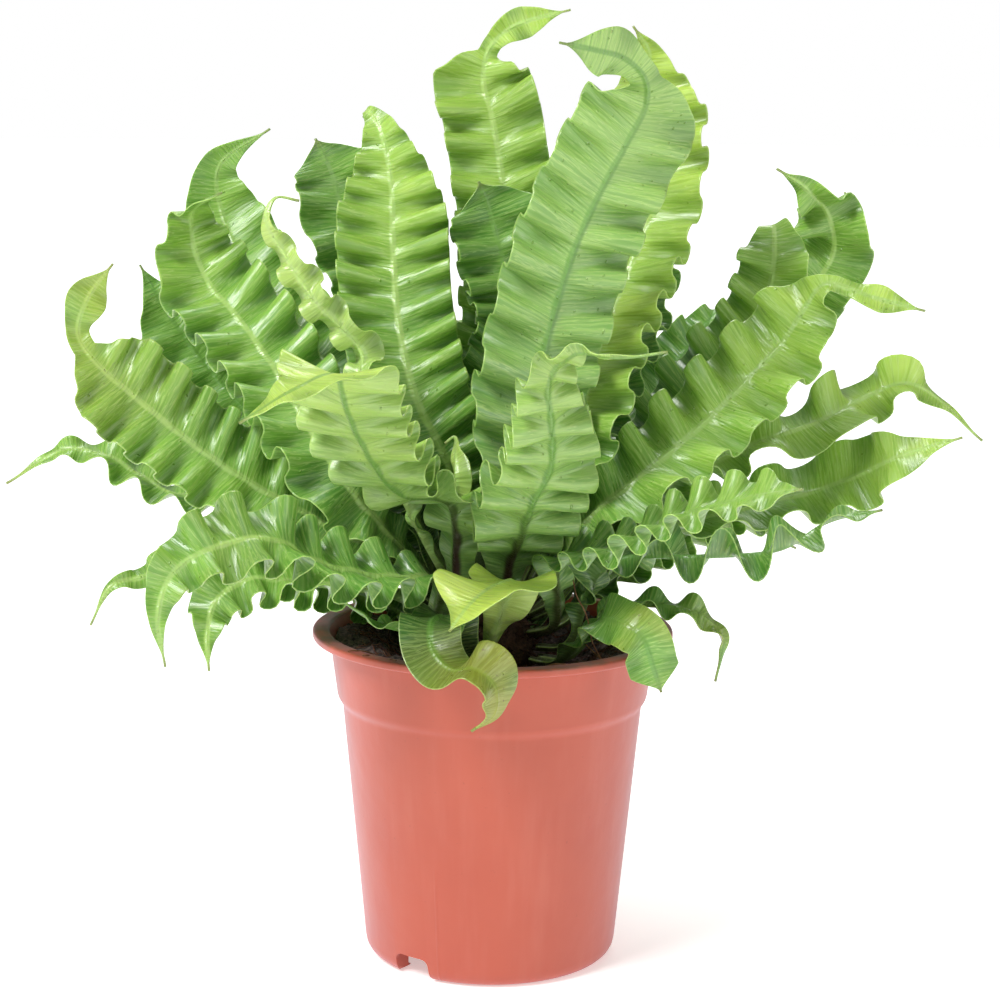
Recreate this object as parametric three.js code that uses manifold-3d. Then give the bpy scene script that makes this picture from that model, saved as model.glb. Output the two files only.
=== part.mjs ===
// Potted crisp-wave fern: waved strap fronds from a short crown, in a thin plastic nursery pot.
// Millimetres, +Z up. The origin is on the pot's axis, on the surface that it stands on. Front is -Y.
import * as THREE from "three";
import { mergeVertices } from "three/addons/utils/BufferGeometryUtils.js";
import Module from "manifold-3d";

const wasm = await Module();
wasm.setup();

// ---------------------------------------------------------------- driving dimensions
const SEGMENTS = 40; // facets round the pot and the soil
const FIT_GAP = 0.3; // clearance between pieces that rest on each other

const POT = {
  height: 111,
  wall: 1.3,
  rimRadius: 60,
  rimDepth: 2.6, // height of the rolled rim
  rimEdge: 0.8, // rounding of the rim's edges
  rimInnerRadius: 54.6,
  bandTopRadius: 54.3,
  bandBottomRadius: 51.7,
  bandBottom: 88.5,
  bodyTopRadius: 50,
  bodyTop: 86,
  bodyBottomRadius: 42.3,
  footRound: 5, // radius of the bottom corner
  footLipRadius: 34.5, // inner edge of the flat ring that the pot stands on
  floorTop: 9.3,
};
// The notches in the foot are opposite each other; centre is in degrees from +X.
const NOTCH = { centre: -127.5, width: 13.5, height: 7.7, innerRadius: 32, outerRadius: 44 };
const DRAIN = { count: 6, radius: 3.5, ring: 25, depth: 6, segments: 12 };

const SOIL = {
  level: 99, // round the crown
  bank: 6.6, // rise of the peat towards the pot's wall
  bankStart: 27,
  bankFull: 46,
  heap: 2.4, // rise of the heap at the left, and its heading from +X in degrees
  heapHeading: 190,
  bump: 0.66, // height of the surface's waves
  calmRadius: 18, // level round the crown
  bumpyRadius: 30,
  rings: [1, 0.87, 0.74, 0.61, 0.48, 0.36, 0.26], // rings of the surface, as shares of its radius
};
const CROWN = {
  base: 101,
  radius: 15,
  rise: 21,
  domeSteps: 6,
  rootRadius: 9,
  rootBottom: 80,
  rootRound: 3,
  skirt: 1, // undercut round the foot of the dome
  segments: 20,
};

const BLADE = {
  stipe: 1.7, // half width of the stalk
  edge: 0.9, // thickness at the margin
  rib: 1.8, // thickness at the midrib
  neck: 10, // straight start of the stalk, square to the crown
  endRoom: 0.3, // share of a wave at each end of the blade without a crest or a trough
  lean: 0.22, // how far the side veins run forward, as a share of the width
  leanEnd: 0.8, // share of the length where the lean starts to go
  cup: 0.15, // rise of the margins, as a share of the width
  curl: 0.2, // how far the wave crests lean over
  sideLag: 40, // degrees between the waves of the two margins
  waveStart: 0.06, // shares of the length where the waves begin, are full and start to fade
  waveFull: 0.3,
  waveFade: 0.75,
  fadeLength: 0.25,
  fade: 0.8, // how much of the waves is lost at the tip
  tip: 0.5, // half width at the very tip
  flapStart: 0.86, // share of the length where the flap at the tip begins
  flapNeck: 0.2, // how far up its half wave the flap begins, which leaves it a neck
  waveRoom: 0.6, // share of the width below which the waves shrink with the blade
  frameSteps: 240, // fine steps along the midrib
  bendReach: 8, // steps each way over which its bend is measured
  tightest: 0.7, // widest margin inside a bend, as a share of the bend's radius
};

// Each frond: [name, [azimuth, rise] of its seat on the crown in degrees,
//   [half width, waves, wave height, wave phase in degrees],
//   [share of the length where the blade is full, where it starts to narrow, half width of the flap,
//   share of the length where the waves start to fade],
//   path of its midrib after the neck as [x, y, z, roll in degrees]].
const FRONDS = [
  ["tall_back", [80, 62], [17, 16, 4.8, 20], [0.34, 0.8, 5.5], [
    [2, 24, 180, 0], [5, 34, 217, 0], [4, 40, 239, 0], [1, 44, 261, 5], [-2, 46, 278, 5],
    [-5, 48, 289, 5], [-4, 48, 299, 5], [1, 46, 306, 5], [9, 42, 310, 0], [24, 40, 314, -15]]],
  ["dark_back", [110, 57], [15, 13, 4.6, 90], [0.34, 0.93], [
    [-5, 6, 173, -15], [7, 11, 210, -15], [1, 10, 236, -10], [-3, 11, 250, -5], [-6, 9, 258, -5]]],
  ["mid_left", [140, 62], [18.5, 18, 4.2, 340], [0.42, 0.72], [
    [-15, -8, 166, -35], [-26, -9, 190, -42], [-32, 1, 214, -45], [-34, 9, 236, -45],
    [-35, 14, 258, -50], [-39, 18, 275, -55], [-43, 23, 280, -60], [-45, 32, 278, -60]]],
  ["mid_left_behind", [128, 45], [15, 14, 4.6, 40], [0.34, 0.94], [
    [-20, 31, 182, -20], [-40, 50, 217, -25], [-53, 52, 242, -20], [-57, 55, 257, -15],
    [-63, 56, 270, -15]]],
  ["tall_right", [300, 72], [19, 14, 5.2, 200], [0.34, 0.76, 8, 0.6], [
    [11, -25, 185, -20], [17, -27, 213, -25], [24, -30, 238, -25], [31, -33, 255, -25],
    [39, -38, 271, -25], [45, -43, 284, -20], [44, -50, 292, -5], [37, -58, 298, 10],
    [29, -63, 300, 20], [18, -68, 302, 20]]],
  ["tall_yellow", [20, 66], [17, 15, 4.6, 90], [0.34, 0.84], [
    [27, -11, 182, 40], [35, -4, 210, 45], [46, 8, 236, 50], [52, 12, 256, 50], [52, 11, 275, 55],
    [50, 8, 290, 60], [48, 4, 301, 70], [43, 0, 308, 75]]],
  ["spike_behind", [36, 54], [12, 12, 4, 10], [0.34, 0.6], [
    [34, 16, 176, 10], [49, 34, 211, 20], [59, 38, 241, 30], [71, 40, 268, 30]]],
  ["left_top", [152, 42], [16, 14, 4.6, 95], [0.34, 0.76, 0, 0.55], [
    [-34, 5, 172, -20], [-75, 39, 212, -45], [-96, 62, 243, -55], [-97, 62, 260, -55],
    [-79, 60, 273, -55]]],
  ["left_high", [165, 48], [17, 15, 5, 170], [0.34, 0.76], [
    [-49, -21, 164, -45], [-72, 1, 196, -55], [-85, 10, 212, -60], [-96, 16, 224, -60],
    [-101, 18, 237, -55], [-101, 16, 246, -55], [-97, 8, 250, -55], [-89, 0, 254, -20]]],
  ["left_behind", [160, 30], [15, 12, 4.5, 20], [0.34, 0.84], [
    [-41, 36, 141, -20], [-72, 48, 162, -40], [-97, 52, 186, -50], [-115, 54, 210, -50],
    [-124, 54, 226, -50]]],
  ["young_pale", [200, 58], [5.5, 12, 3.2, 40], [0.5, 0.76], [
    [-42, -30, 193, 20], [-42, -28, 206, 40], [-56, -32, 222, 50], [-65, -30, 235, 50],
    [-72, -30, 249, 30], [-69, -28, 254, 10], [-62, -24, 253, 0]]],
  ["left_wide", [188, 38], [17, 16, 4.8, 240], [0.34, 0.74, 6.5, 0.6], [
    [-35, -8, 136, -35], [-55, -11, 147, -45], [-89, -16, 168, -60], [-113, -20, 188, -70],
    [-128, -22, 202, -65], [-133, -20, 210, -65], [-130, -18, 221, -75], [-122, -16, 232, -75]]],
  ["left_far", [180, 30], [9, 12, 4.2, 300], [0.34, 0.7], [
    [-33, 13, 132, 0], [-54, 14, 147, -5], [-86, 21, 148, -10], [-111, 26, 151, -10],
    [-131, 28, 162, -20], [-146, 28, 165, -30], [-167, 28, 153, -30]]],
  ["front_left", [235, 45], [18, 14, 5, 110], [0.42, 0.78, 0, 0.6], [
    [-14, -34, 159, 0], [-29, -45, 164, 0], [-40, -65, 183, 0], [-44, -80, 197, 0],
    [-46, -93, 207, 0], [-55, -106, 205, 0], [-72, -110, 195, 0]]],
  ["low_left_front", [218, 20], [13, 12, 5.5, 10], [0.42, 0.7], [
    [-17, -32, 133, -10], [-35, -48, 138, -30], [-53, -66, 146, -40], [-67, -80, 156, -45],
    [-82, -90, 155, -50], [-93, -98, 149, -60], [-97, -102, 137, -70], [-95, -102, 122, -70]]],
  ["low_left_mid", [196, 14], [10.5, 10, 4.4, 170], [0.34, 0.74], [
    [-28, -13, 122, -10], [-63, -26, 131, -25], [-78, -32, 133, -40], [-88, -38, 127, -55],
    [-90, -44, 117, -60], [-89, -48, 107, -60]]],
  ["low_left_back", [170, 8], [11, 11, 4.5, 200], [0.34, 0.55], [
    [-31, 21, 110, 0], [-67, 15, 124, -5], [-88, 9, 131, -15], [-104, 2, 131, -20],
    [-117, -2, 127, -30], [-126, -6, 125, -40], [-133, -8, 112, -40]]],
  ["small_left", [228, 2], [6, 5, 2.5, 250], [0.5, 0.6], [
    [-24, -38, 117, -10], [-36, -48, 123, -20], [-47, -52, 131, -20]]],
  ["front_mid", [282, 45], [17, 14, 5.4, 140], [0.34, 0.42], [
    [5, -27, 138, 0], [8, -39, 148, 0], [12, -53, 163, 0], [17, -62, 175, 0], [17, -75, 190, 0],
    [16, -86, 205, 0], [23, -97, 214, 0], [36, -104, 214, 0], [49, -106, 216, 0]]],
  ["young_fold", [268, 20], [15.5, 3, 5.5, 265], [0.72, 0.82], [
    [4, -36, 128, -6], [6, -48, 136, -6], [5, -56, 139, -6], [-1, -65, 138, -8], [-7, -71, 134, -10],
    [-13, -75, 127, -10]]],
  ["front_droop", [258, 4], [9.5, 4, 3.5, 20], [0.3, 0.82], [
    [-15, -40, 123, 0], [-19, -58, 125, 0], [-18, -68, 119, 0], [-12, -75, 115, 0], [-5, -79, 116, 0],
    [1, -80, 111, 0], [1, -80, 103, 0], [-6, -79, 97, 0]]],
  ["right_droop", [325, 4], [8, 4, 3.2, 50], [0.4, 0.9], [
    [34, -34, 121, 30], [41, -49, 124, 40], [47, -53, 120, 40], [50, -54, 112, 40],
    [53, -53, 103, 40]]],
  ["right_droop_far", [352, 2], [5.5, 6, 3, 90], [0.4, 0.6], [
    [40, -4, 119, 10], [55, -5, 120, 20], [64, -7, 119, 30], [71, -8, 116, 40], [76, -8, 109, 40],
    [74, -8, 95, 40]]],
  ["right_wavy", [330, 28], [10, 12, 5, 180], [0.34, 0.9], [
    [21, -30, 139, 0], [39, -52, 149, 10], [56, -70, 162, 15], [73, -84, 170, 20], [90, -94, 175, 20]]],
  ["right_low", [344, 12], [9, 7, 7, 0], [0.34, 0.8, 4], [
    [34, -15, 133, 0], [43, -19, 139, 0], [66, -26, 141, 0], [92, -28, 144, 0], [107, -28, 153, 10],
    [124, -28, 157, 20]]],
  ["right_wide", [5, 42], [16, 11, 5.5, 80], [0.34, 0.72, 4.5], [
    [28, -9, 146, 35], [46, -12, 163, 40], [61, -4, 174, 50], [73, 2, 184, 55], [86, 6, 197, 55],
    [96, 8, 208, 50], [102, 6, 219, 50], [108, 4, 226, 50], [123, 2, 222, 50], [140, 0, 218, 50]]],
  ["right_high", [26, 46], [12.5, 13, 4.4, 40], [0.34, 0.86], [
    [42, 19, 158, 20], [66, 32, 187, 35], [87, 38, 209, 45], [94, 40, 224, 50], [95, 42, 236, 50],
    [95, 46, 242, 45], [95, 56, 240, 45]]],
  ["right_high_far", [36, 38], [14, 13, 4.8, 80], [0.34, 0.84, 0, 0.95], [
    [50, 56, 150, 20], [82, 77, 187, 30], [109, 79, 213, 45], [120, 76, 232, 50], [116, 70, 246, 60],
    [108, 64, 254, 70], [97, 60, 261, 70]]],
  ["right_top_back", [42, 30], [11, 12, 4.5, 130], [0.34, 0.7], [
    [50, 62, 146, 15], [89, 94, 188, 35], [123, 104, 223, 45], [133, 106, 240, 40],
    [127, 104, 251, 40]]],
  ["right_far_up", [17, 34], [11, 7, 6.2, 170], [0.34, 0.72], [
    [46, 15, 147, 10], [75, 27, 163, 20], [98, 27, 173, 30], [114, 32, 178, 45], [130, 42, 185, 40],
    [145, 42, 188, 30], [169, 42, 169, 20]]],
  ["right_far_low", [2, 24], [13, 8, 3.4, 210], [0.34, 0.78], [
    [48, 10, 138, 10], [82, 22, 147, 30], [114, 30, 154, 50], [127, 24, 161, 60], [138, 16, 168, 60],
    [157, 16, 174, 50]]],
  ["right_behind", [60, 46], [12, 12, 4.2, 300], [0.34, 0.7], [
    [39, 47, 167, 20], [55, 64, 180, 40], [70, 74, 199, 40], [79, 85, 209, 30], [69, 96, 203, 20]]],
  ["young_curl", [215, 66], [5, 3, 1.5, 0], [0.6, 0.7], [
    [-10, -15, 149, 0], [-12, -25, 166, 0], [-13, -14, 177, 0], [-16, -15, 175, 0]]],
  ["rear_high_left", [100, 44], [14, 12, 4.5, 40], [0.34, 0.7], [
    [-13, 38, 150, 0], [-20, 68, 181, 0], [-14, 96, 202, 0], [-17, 115, 200, 0]]],
  ["rear_high_right", [74, 52], [14, 12, 4.5, 200], [0.34, 0.7], [
    [7, 25, 149, 0], [14, 56, 184, 0], [21, 85, 216, 0], [27, 109, 224, 0]]],
  ["rear_mid_left", [124, 38], [15, 12, 4.8, 80], [0.34, 0.7], [
    [-34, 22, 159, 0], [-41, 44, 184, 0], [-46, 67, 199, 0], [-66, 98, 190, 0]]],
  ["rear_mid", [90, 34], [16, 12, 5, 130], [0.34, 0.7], [
    [-10, 38, 137, 0], [-7, 66, 161, 0], [-1, 88, 179, 0], [0, 113, 164, 0]]],
  ["rear_mid_right", [66, 32], [15, 12, 4.6, 290], [0.34, 0.7], [
    [11, 41, 131, 0], [22, 72, 159, 0], [38, 94, 170, 0], [46, 113, 162, 0]]],
  ["rear_low_left", [140, 20], [13, 11, 4.5, 10], [0.34, 0.7], [
    [-27, 26, 120, 0], [-50, 45, 139, 0], [-71, 64, 146, 0], [-89, 80, 134, 0]]],
  ["rear_low", [106, 18], [13, 11, 4.5, 240], [0.34, 0.7], [
    [-7, 44, 109, 0], [-15, 70, 132, 0], [-26, 92, 142, 0], [-33, 114, 126, 0]]],
  ["rear_low_right", [74, 18], [13, 11, 4.5, 120], [0.34, 0.7], [
    [11, 39, 120, 0], [19, 69, 138, 0], [23, 93, 143, 0], [29, 115, 124, 0]]],
  ["rear_side_right", [28, 16], [13, 11, 4.5, 30], [0.34, 0.7], [
    [32, 15, 118, 0], [60, 31, 132, 0], [84, 43, 139, 0], [107, 54, 128, 0]]],
  ["rear_droop_left", [124, 6], [9, 7, 3, 60], [0.4, 0.6], [
    [-22, 31, 114, 0], [-36, 53, 126, 0], [-46, 68, 118, 0], [-51, 76, 92, 0]]],
  ["rear_droop_right", [62, 4], [9, 7, 3, 190], [0.4, 0.6], [
    [18, 36, 114, 0], [31, 57, 125, 0], [39, 73, 117, 0], [43, 81, 93, 0]]],
];

// ---------------------------------------------------------------- small helpers
const radians = THREE.MathUtils.degToRad;
const lerp = THREE.MathUtils.lerp;
const smooth = (from, to, value) => THREE.MathUtils.smoothstep(value, from, to);

function finish(name, geometry, material) {
  geometry.computeVertexNormals();
  const mesh = new THREE.Mesh(geometry, material);
  mesh.name = name;
  return mesh;
}

function plain(geometry) {
  geometry.deleteAttribute("normal");
  geometry.deleteAttribute("uv");
  return mergeVertices(geometry, 1e-4);
}

// Turns a profile of [radius, height] points about +Z.
function turned(profile, segments) {
  const points = profile.map(([radius, height]) => new THREE.Vector2(radius, height));
  const geometry = plain(new THREE.LatheGeometry(points, segments));
  geometry.rotateX(Math.PI / 2);
  return geometry;
}

function toSolid(geometry) {
  return new wasm.Manifold(new wasm.Mesh({
    numProp: 3,
    vertProperties: new Float32Array(geometry.attributes.position.array),
    triVerts: new Uint32Array(geometry.index.array),
  }));
}

function toGeometry(solid) {
  const mesh = solid.getMesh();
  const geometry = new THREE.BufferGeometry();
  geometry.setAttribute("position", new THREE.BufferAttribute(mesh.vertProperties, 3));
  geometry.setIndex(new THREE.BufferAttribute(mesh.triVerts, 1));
  return geometry;
}

// Points of a quarter round from straight down to straight out.
function quarterRound(centreRadius, centreHeight, round, steps) {
  return Array.from({ length: steps + 1 }, (_, i) => {
    const angle = (Math.PI / 2) * (i / steps);
    return [centreRadius + round * Math.sin(angle), centreHeight - round * Math.cos(angle)];
  });
}

// ---------------------------------------------------------------- pot
const underRim = POT.height - POT.rimDepth;
const bandTop = underRim - POT.rimEdge;

function potProfile() {
  const { wall, height, floorTop, rimEdge } = POT;
  const footCentre = POT.bodyBottomRadius - POT.footRound;
  const outerFoot = quarterRound(footCentre, POT.footRound, POT.footRound, 3);
  const innerFoot = quarterRound(footCentre, POT.footRound, POT.footRound - wall, 2).reverse();
  return [
    [0, floorTop - wall],
    [POT.bodyBottomRadius - wall, floorTop - wall],
    ...innerFoot,
    [POT.footLipRadius, wall],
    [POT.footLipRadius, 0],
    ...outerFoot,
    [POT.bodyTopRadius, POT.bodyTop],
    [POT.bandBottomRadius, POT.bandBottom],
    [POT.bandTopRadius, bandTop],
    [POT.rimRadius - rimEdge, underRim],
    [POT.rimRadius, underRim + rimEdge],
    [POT.rimRadius, height - rimEdge],
    [POT.rimRadius - rimEdge, height],
    [POT.rimInnerRadius + rimEdge, height],
    [POT.rimInnerRadius, height - rimEdge],
    [POT.bandTopRadius - wall, bandTop],
    [POT.bandBottomRadius - wall, POT.bandBottom],
    [POT.bodyTopRadius - wall, POT.bodyTop],
    [POT.bodyBottomRadius - wall, floorTop],
    [0, floorTop],
  ];
}

// Box through the foot's wall, as high above the ground as below it.
function notchCutter(degrees) {
  const { innerRadius, outerRadius } = NOTCH;
  const box = new THREE.BoxGeometry(outerRadius - innerRadius, NOTCH.width, NOTCH.height * 2);
  box.translate((outerRadius + innerRadius) / 2, 0, 0);
  box.rotateZ(radians(degrees));
  return toSolid(plain(box));
}

function drainCutter(index) {
  const hole = new THREE.CylinderGeometry(DRAIN.radius, DRAIN.radius, DRAIN.depth, DRAIN.segments);
  hole.rotateX(Math.PI / 2);
  hole.translate(DRAIN.ring, 0, POT.floorTop);
  hole.rotateZ((index / DRAIN.count) * 2 * Math.PI);
  return toSolid(plain(hole));
}

function potGeometry() {
  let solid = toSolid(turned(potProfile(), SEGMENTS));
  for (const degrees of [NOTCH.centre, NOTCH.centre + 180]) {
    solid = solid.subtract(notchCutter(degrees));
  }
  for (let i = 0; i < DRAIN.count; i += 1) {
    solid = solid.subtract(drainCutter(i));
  }
  return toGeometry(solid);
}

// ---------------------------------------------------------------- soil and crown
// Height of the surface: low waves from two crossing sine patterns, on peat that is banked up to the wall.
function soilHeight(x, y) {
  const waves = Math.sin(0.31 * x + 0.7) * Math.cos(0.27 * y) + 0.7 * Math.sin(0.19 * x - 0.36 * y + 2);
  const radius = Math.hypot(x, y);
  const share = smooth(SOIL.calmRadius, SOIL.bumpyRadius, radius);
  const bank = smooth(SOIL.bankStart, SOIL.bankFull, radius);
  const facing = Math.max(0, Math.cos(Math.atan2(y, x) - radians(SOIL.heapHeading)));
  const heap = SOIL.heap * facing * bank * (1 - smooth(SOIL.bankFull, POT.bodyTopRadius, radius));
  return SOIL.level + SOIL.bump * waves * share + SOIL.bank * bank + heap;
}

function soilGeometry() {
  const inset = POT.wall + FIT_GAP;
  const holeRadius = CROWN.rootRadius + FIT_GAP;
  const upBand = (SOIL.level + SOIL.bank - POT.bandBottom) / (bandTop - POT.bandBottom);
  const edge = lerp(POT.bandBottomRadius, POT.bandTopRadius, upBand) - inset;
  const rings = SOIL.rings.map((share) => [edge * share, SOIL.level]);
  const geometry = turned([
    [0, POT.floorTop + FIT_GAP],
    [POT.bodyBottomRadius - inset, POT.floorTop + FIT_GAP],
    [POT.bodyTopRadius - inset, POT.bodyTop],
    [POT.bandBottomRadius - inset, POT.bandBottom + FIT_GAP],
    ...rings,
    [holeRadius, SOIL.level],
    [holeRadius, CROWN.rootBottom - FIT_GAP],
    [0, CROWN.rootBottom - FIT_GAP],
  ], SEGMENTS);
  const position = geometry.attributes.position;
  for (let i = 0; i < position.count; i += 1) {
    if (Math.abs(position.getZ(i) - SOIL.level) < 0.01) {
      position.setZ(i, soilHeight(position.getX(i), position.getY(i)));
    }
  }
  return geometry;
}

function crownGeometry() {
  const { base, rootRadius, rootBottom, rootRound, skirt } = CROWN;
  const dome = Array.from({ length: CROWN.domeSteps }, (_, i) => {
    const angle = (i / CROWN.domeSteps) * (Math.PI / 2);
    return [CROWN.radius * Math.cos(angle), base + CROWN.rise * Math.sin(angle)];
  });
  return turned([
    [0, rootBottom],
    [rootRadius - rootRound, rootBottom],
    [rootRadius, rootBottom + rootRound],
    [rootRadius, base - skirt],
    [CROWN.radius - skirt, base - skirt],
    ...dome,
    [0, base + CROWN.rise],
  ], CROWN.segments);
}

// ---------------------------------------------------------------- fronds
// A frond's seat on the crown's dome and the direction square to the dome there.
function seatOf([azimuth, rise]) {
  const flat = Math.cos(radians(rise));
  const ray = new THREE.Vector3(
    Math.cos(radians(azimuth)) * flat, Math.sin(radians(azimuth)) * flat, Math.sin(radians(rise)));
  const size = new THREE.Vector3(CROWN.radius, CROWN.radius, CROWN.rise);
  const normal = ray.clone().divide(size).normalize();
  const point = ray.multiply(size).add(new THREE.Vector3(0, 0, CROWN.base));
  return { point: point.addScaledVector(normal, FIT_GAP), normal };
}

// Fine frames along the midrib: place, forward, up (square to the blade), side and bend in the blade.
function spineFrames(seat, path) {
  const { point, normal } = seatOf(seat);
  const neckEnd = point.clone().addScaledVector(normal, BLADE.neck);
  const knots = [point, neckEnd, ...path.map(([x, y, z]) => new THREE.Vector3(x, y, z))];
  const rolls = [0, 0, ...path.map((knot) => knot[3])];
  const curve = new THREE.CatmullRomCurve3(knots, false, "centripetal");
  curve.arcLengthDivisions = 600;
  const azimuth = radians(seat[0]);
  let up = new THREE.Vector3(-0.8 * Math.cos(azimuth), -0.8 * Math.sin(azimuth), 0.6);
  const length = curve.getLength();
  const frames = [];
  for (let i = 0; i <= BLADE.frameSteps; i += 1) {
    const share = i / BLADE.frameSteps;
    const along = curve.getUtoTmapping(share) * (knots.length - 1);
    const knot = Math.min(Math.floor(along), knots.length - 2);
    const roll = radians(lerp(rolls[knot], rolls[knot + 1], smooth(0, 1, along - knot)));
    const forward = curve.getTangentAt(share).normalize();
    up = up.clone().addScaledVector(forward, -up.dot(forward)).normalize();
    const turnedUp = up.clone().applyAxisAngle(forward, roll);
    const side = forward.clone().cross(turnedUp);
    frames.push({ share, place: curve.getPointAt(share), forward, up: turnedUp, side, bend: 0 });
  }
  frames.forEach((frame, i) => {
    const before = frames[Math.max(i - BLADE.bendReach, 0)];
    const after = frames[Math.min(i + BLADE.bendReach, BLADE.frameSteps)];
    const turn = after.forward.clone().sub(before.forward);
    frame.bend = turn.dot(frame.side) / ((after.share - before.share) * length);
  });
  return frames;
}

// Half width of the blade: a narrow stalk, a long strap, a drawn-out tip and on some a flap at its end.
function halfWidth(share, width, [full, narrowing, flap = 0]) {
  const end = flap > 0 ? BLADE.flapStart : 1;
  const rise = lerp(BLADE.stipe, width, smooth(0.03, full, share));
  const rest = THREE.MathUtils.clamp((share - narrowing) / (end - narrowing), 0, 1);
  const fall = width * (1 - rest) ** 1.6 * (1 + 0.9 * rest);
  const upFlap = lerp(BLADE.flapNeck, 1, flap > 0 ? smooth(BLADE.flapStart, 1, share) : 1);
  return Math.max(Math.min(rise, fall), flap * Math.sin(Math.PI * upFlap), BLADE.tip);
}

// The margin on the inner side of a bend draws in, so that it never crosses itself.
function drawnIn(width, bend, sign) {
  const room = BLADE.tightest / Math.max(bend * sign, 1e-4);
  return (width * room) / (width ** 4 + room ** 4) ** 0.25;
}

// A point of the midrib (sign 0) or of a margin (sign -1 or 1), with the margin's wave.
function frondStation(frame, sign, [width, waves, waveHeight, phase], shape) {
  const base = halfWidth(frame.share, width, shape);
  const half = drawnIn(base, frame.bend, sign);
  const fadeStart = shape[3] ?? BLADE.waveFade;
  const fading = 1 - BLADE.fade * smooth(fadeStart, fadeStart + BLADE.fadeLength, frame.share);
  const grown = smooth(BLADE.waveStart, BLADE.waveFull, frame.share) * fading;
  const height = waveHeight * grown * Math.min(1, half / (BLADE.waveRoom * width));
  const angle = 2 * Math.PI * waves * frame.share + radians(phase + (sign > 0 ? BLADE.sideLag : 0));
  const lift = Math.abs(sign) * (height * Math.sin(angle) + BLADE.cup * half);
  const lean = BLADE.lean * half * (1 - smooth(BLADE.leanEnd, 1, frame.share));
  const ahead = Math.abs(sign) * (lean - BLADE.curl * height * Math.sin(2 * angle));
  return frame.place.clone()
    .addScaledVector(frame.side, sign * half)
    .addScaledVector(frame.up, lift)
    .addScaledVector(frame.forward, ahead);
}

// Area-weighted normals of the grid of middle points, [row][column].
function gridNormals(grid) {
  const normals = grid.map((row) => row.map(() => new THREE.Vector3()));
  const addFace = (corners) => {
    const [a, b, c] = corners.map(([i, j]) => grid[i][j]);
    const face = b.clone().sub(a).cross(c.clone().sub(a));
    corners.forEach(([i, j]) => normals[i][j].add(face));
  };
  for (let i = 0; i < grid.length - 1; i += 1) {
    for (let j = 0; j < grid[i].length - 1; j += 1) {
      addFace([[i, j], [i, j + 1], [i + 1, j + 1]]);
      addFace([[i, j], [i + 1, j + 1], [i + 1, j]]);
    }
  }
  normals.flat().forEach((normal) => normal.normalize());
  return normals;
}

// Closed sheet round a grid of middle points, split into the same triangles on both faces.
function sheetGeometry(grid, thickness) {
  const rows = grid.length;
  const columns = grid[0].length;
  const normals = gridNormals(grid);
  const positions = [];
  for (const face of [0.5, -0.5]) {
    grid.forEach((row, i) => row.forEach((point, j) => {
      positions.push(...point.clone().addScaledVector(normals[i][j], face * thickness[j]).toArray());
    }));
  }
  const top = (i, j) => i * columns + j;
  const under = (i, j) => rows * columns + top(i, j);
  const index = [];
  for (let i = 0; i < rows - 1; i += 1) {
    for (let j = 0; j < columns - 1; j += 1) {
      index.push(top(i, j), top(i, j + 1), top(i + 1, j + 1));
      index.push(top(i, j), top(i + 1, j + 1), top(i + 1, j));
      index.push(under(i, j), under(i + 1, j + 1), under(i, j + 1));
      index.push(under(i, j), under(i + 1, j), under(i + 1, j + 1));
    }
    const last = columns - 1;
    index.push(top(i, 0), top(i + 1, 0), under(i + 1, 0));
    index.push(top(i, 0), under(i + 1, 0), under(i, 0));
    index.push(top(i, last), under(i + 1, last), top(i + 1, last));
    index.push(top(i, last), under(i, last), under(i + 1, last));
  }
  for (let j = 0; j < columns - 1; j += 1) {
    const end = rows - 1;
    index.push(top(0, j), under(0, j + 1), top(0, j + 1));
    index.push(top(0, j), under(0, j), under(0, j + 1));
    index.push(top(end, j), top(end, j + 1), under(end, j + 1));
    index.push(top(end, j), under(end, j + 1), under(end, j));
  }
  const geometry = new THREE.BufferGeometry();
  geometry.setAttribute("position", new THREE.Float32BufferAttribute(positions, 3));
  geometry.setIndex(index);
  return geometry;
}

// Shares of the length with a row of facets: both ends, and each crest and trough between them.
function rowShares(waves, phase) {
  const offset = (90 - phase - BLADE.sideLag / 2) / 360;
  const first = Math.ceil(2 * (BLADE.endRoom - offset));
  const last = Math.floor(2 * (waves - BLADE.endRoom - offset));
  const between = Array.from({ length: last - first + 1 }, (_, i) => ((first + i) / 2 + offset) / waves);
  return [0, ...between, 1];
}

function frondGeometry(seat, size, shape, path) {
  const frames = spineFrames(seat, path);
  const grid = rowShares(size[1], size[3]).map((share) => {
    const frame = frames[Math.round(share * BLADE.frameSteps)];
    return [-1, 0, 1].map((sign) => frondStation(frame, sign, size, shape));
  });
  return sheetGeometry(grid, [BLADE.edge, BLADE.rib, BLADE.edge]);
}

// ---------------------------------------------------------------- materials
const plastic = () => new THREE.MeshStandardMaterial({ color: 0xcf6f5a, roughness: 0.42, metalness: 0 });
const peat = () => new THREE.MeshStandardMaterial({ color: 0x2b201c, roughness: 0.95, metalness: 0 });
const rhizome = () => new THREE.MeshStandardMaterial({ color: 0x4a3527, roughness: 0.85, metalness: 0 });
const leaf = () => new THREE.MeshStandardMaterial({ color: 0x6fa63c, roughness: 0.4, metalness: 0 });

// ---------------------------------------------------------------- assembly
const fern = new THREE.Group();
fern.add(finish("pot", potGeometry(), plastic()));
fern.add(finish("soil", soilGeometry(), peat()));
fern.add(finish("crown", crownGeometry(), rhizome()));
for (const [name, seat, size, shape, path] of FRONDS) {
  fern.add(finish(`frond_${name}`, frondGeometry(seat, size, shape, path), leaf()));
}

export default fern;
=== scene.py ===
"""Potted crisp-wave fern: waved fronds, peat and a thin nursery pot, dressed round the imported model.

The plant's tables are in millimetres, as in the part's source; meshes are made in metres.
"""
import math
from types import SimpleNamespace as Values

import bmesh
import bpy
import numpy as np
from mathutils import Matrix, Vector, noise


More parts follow.
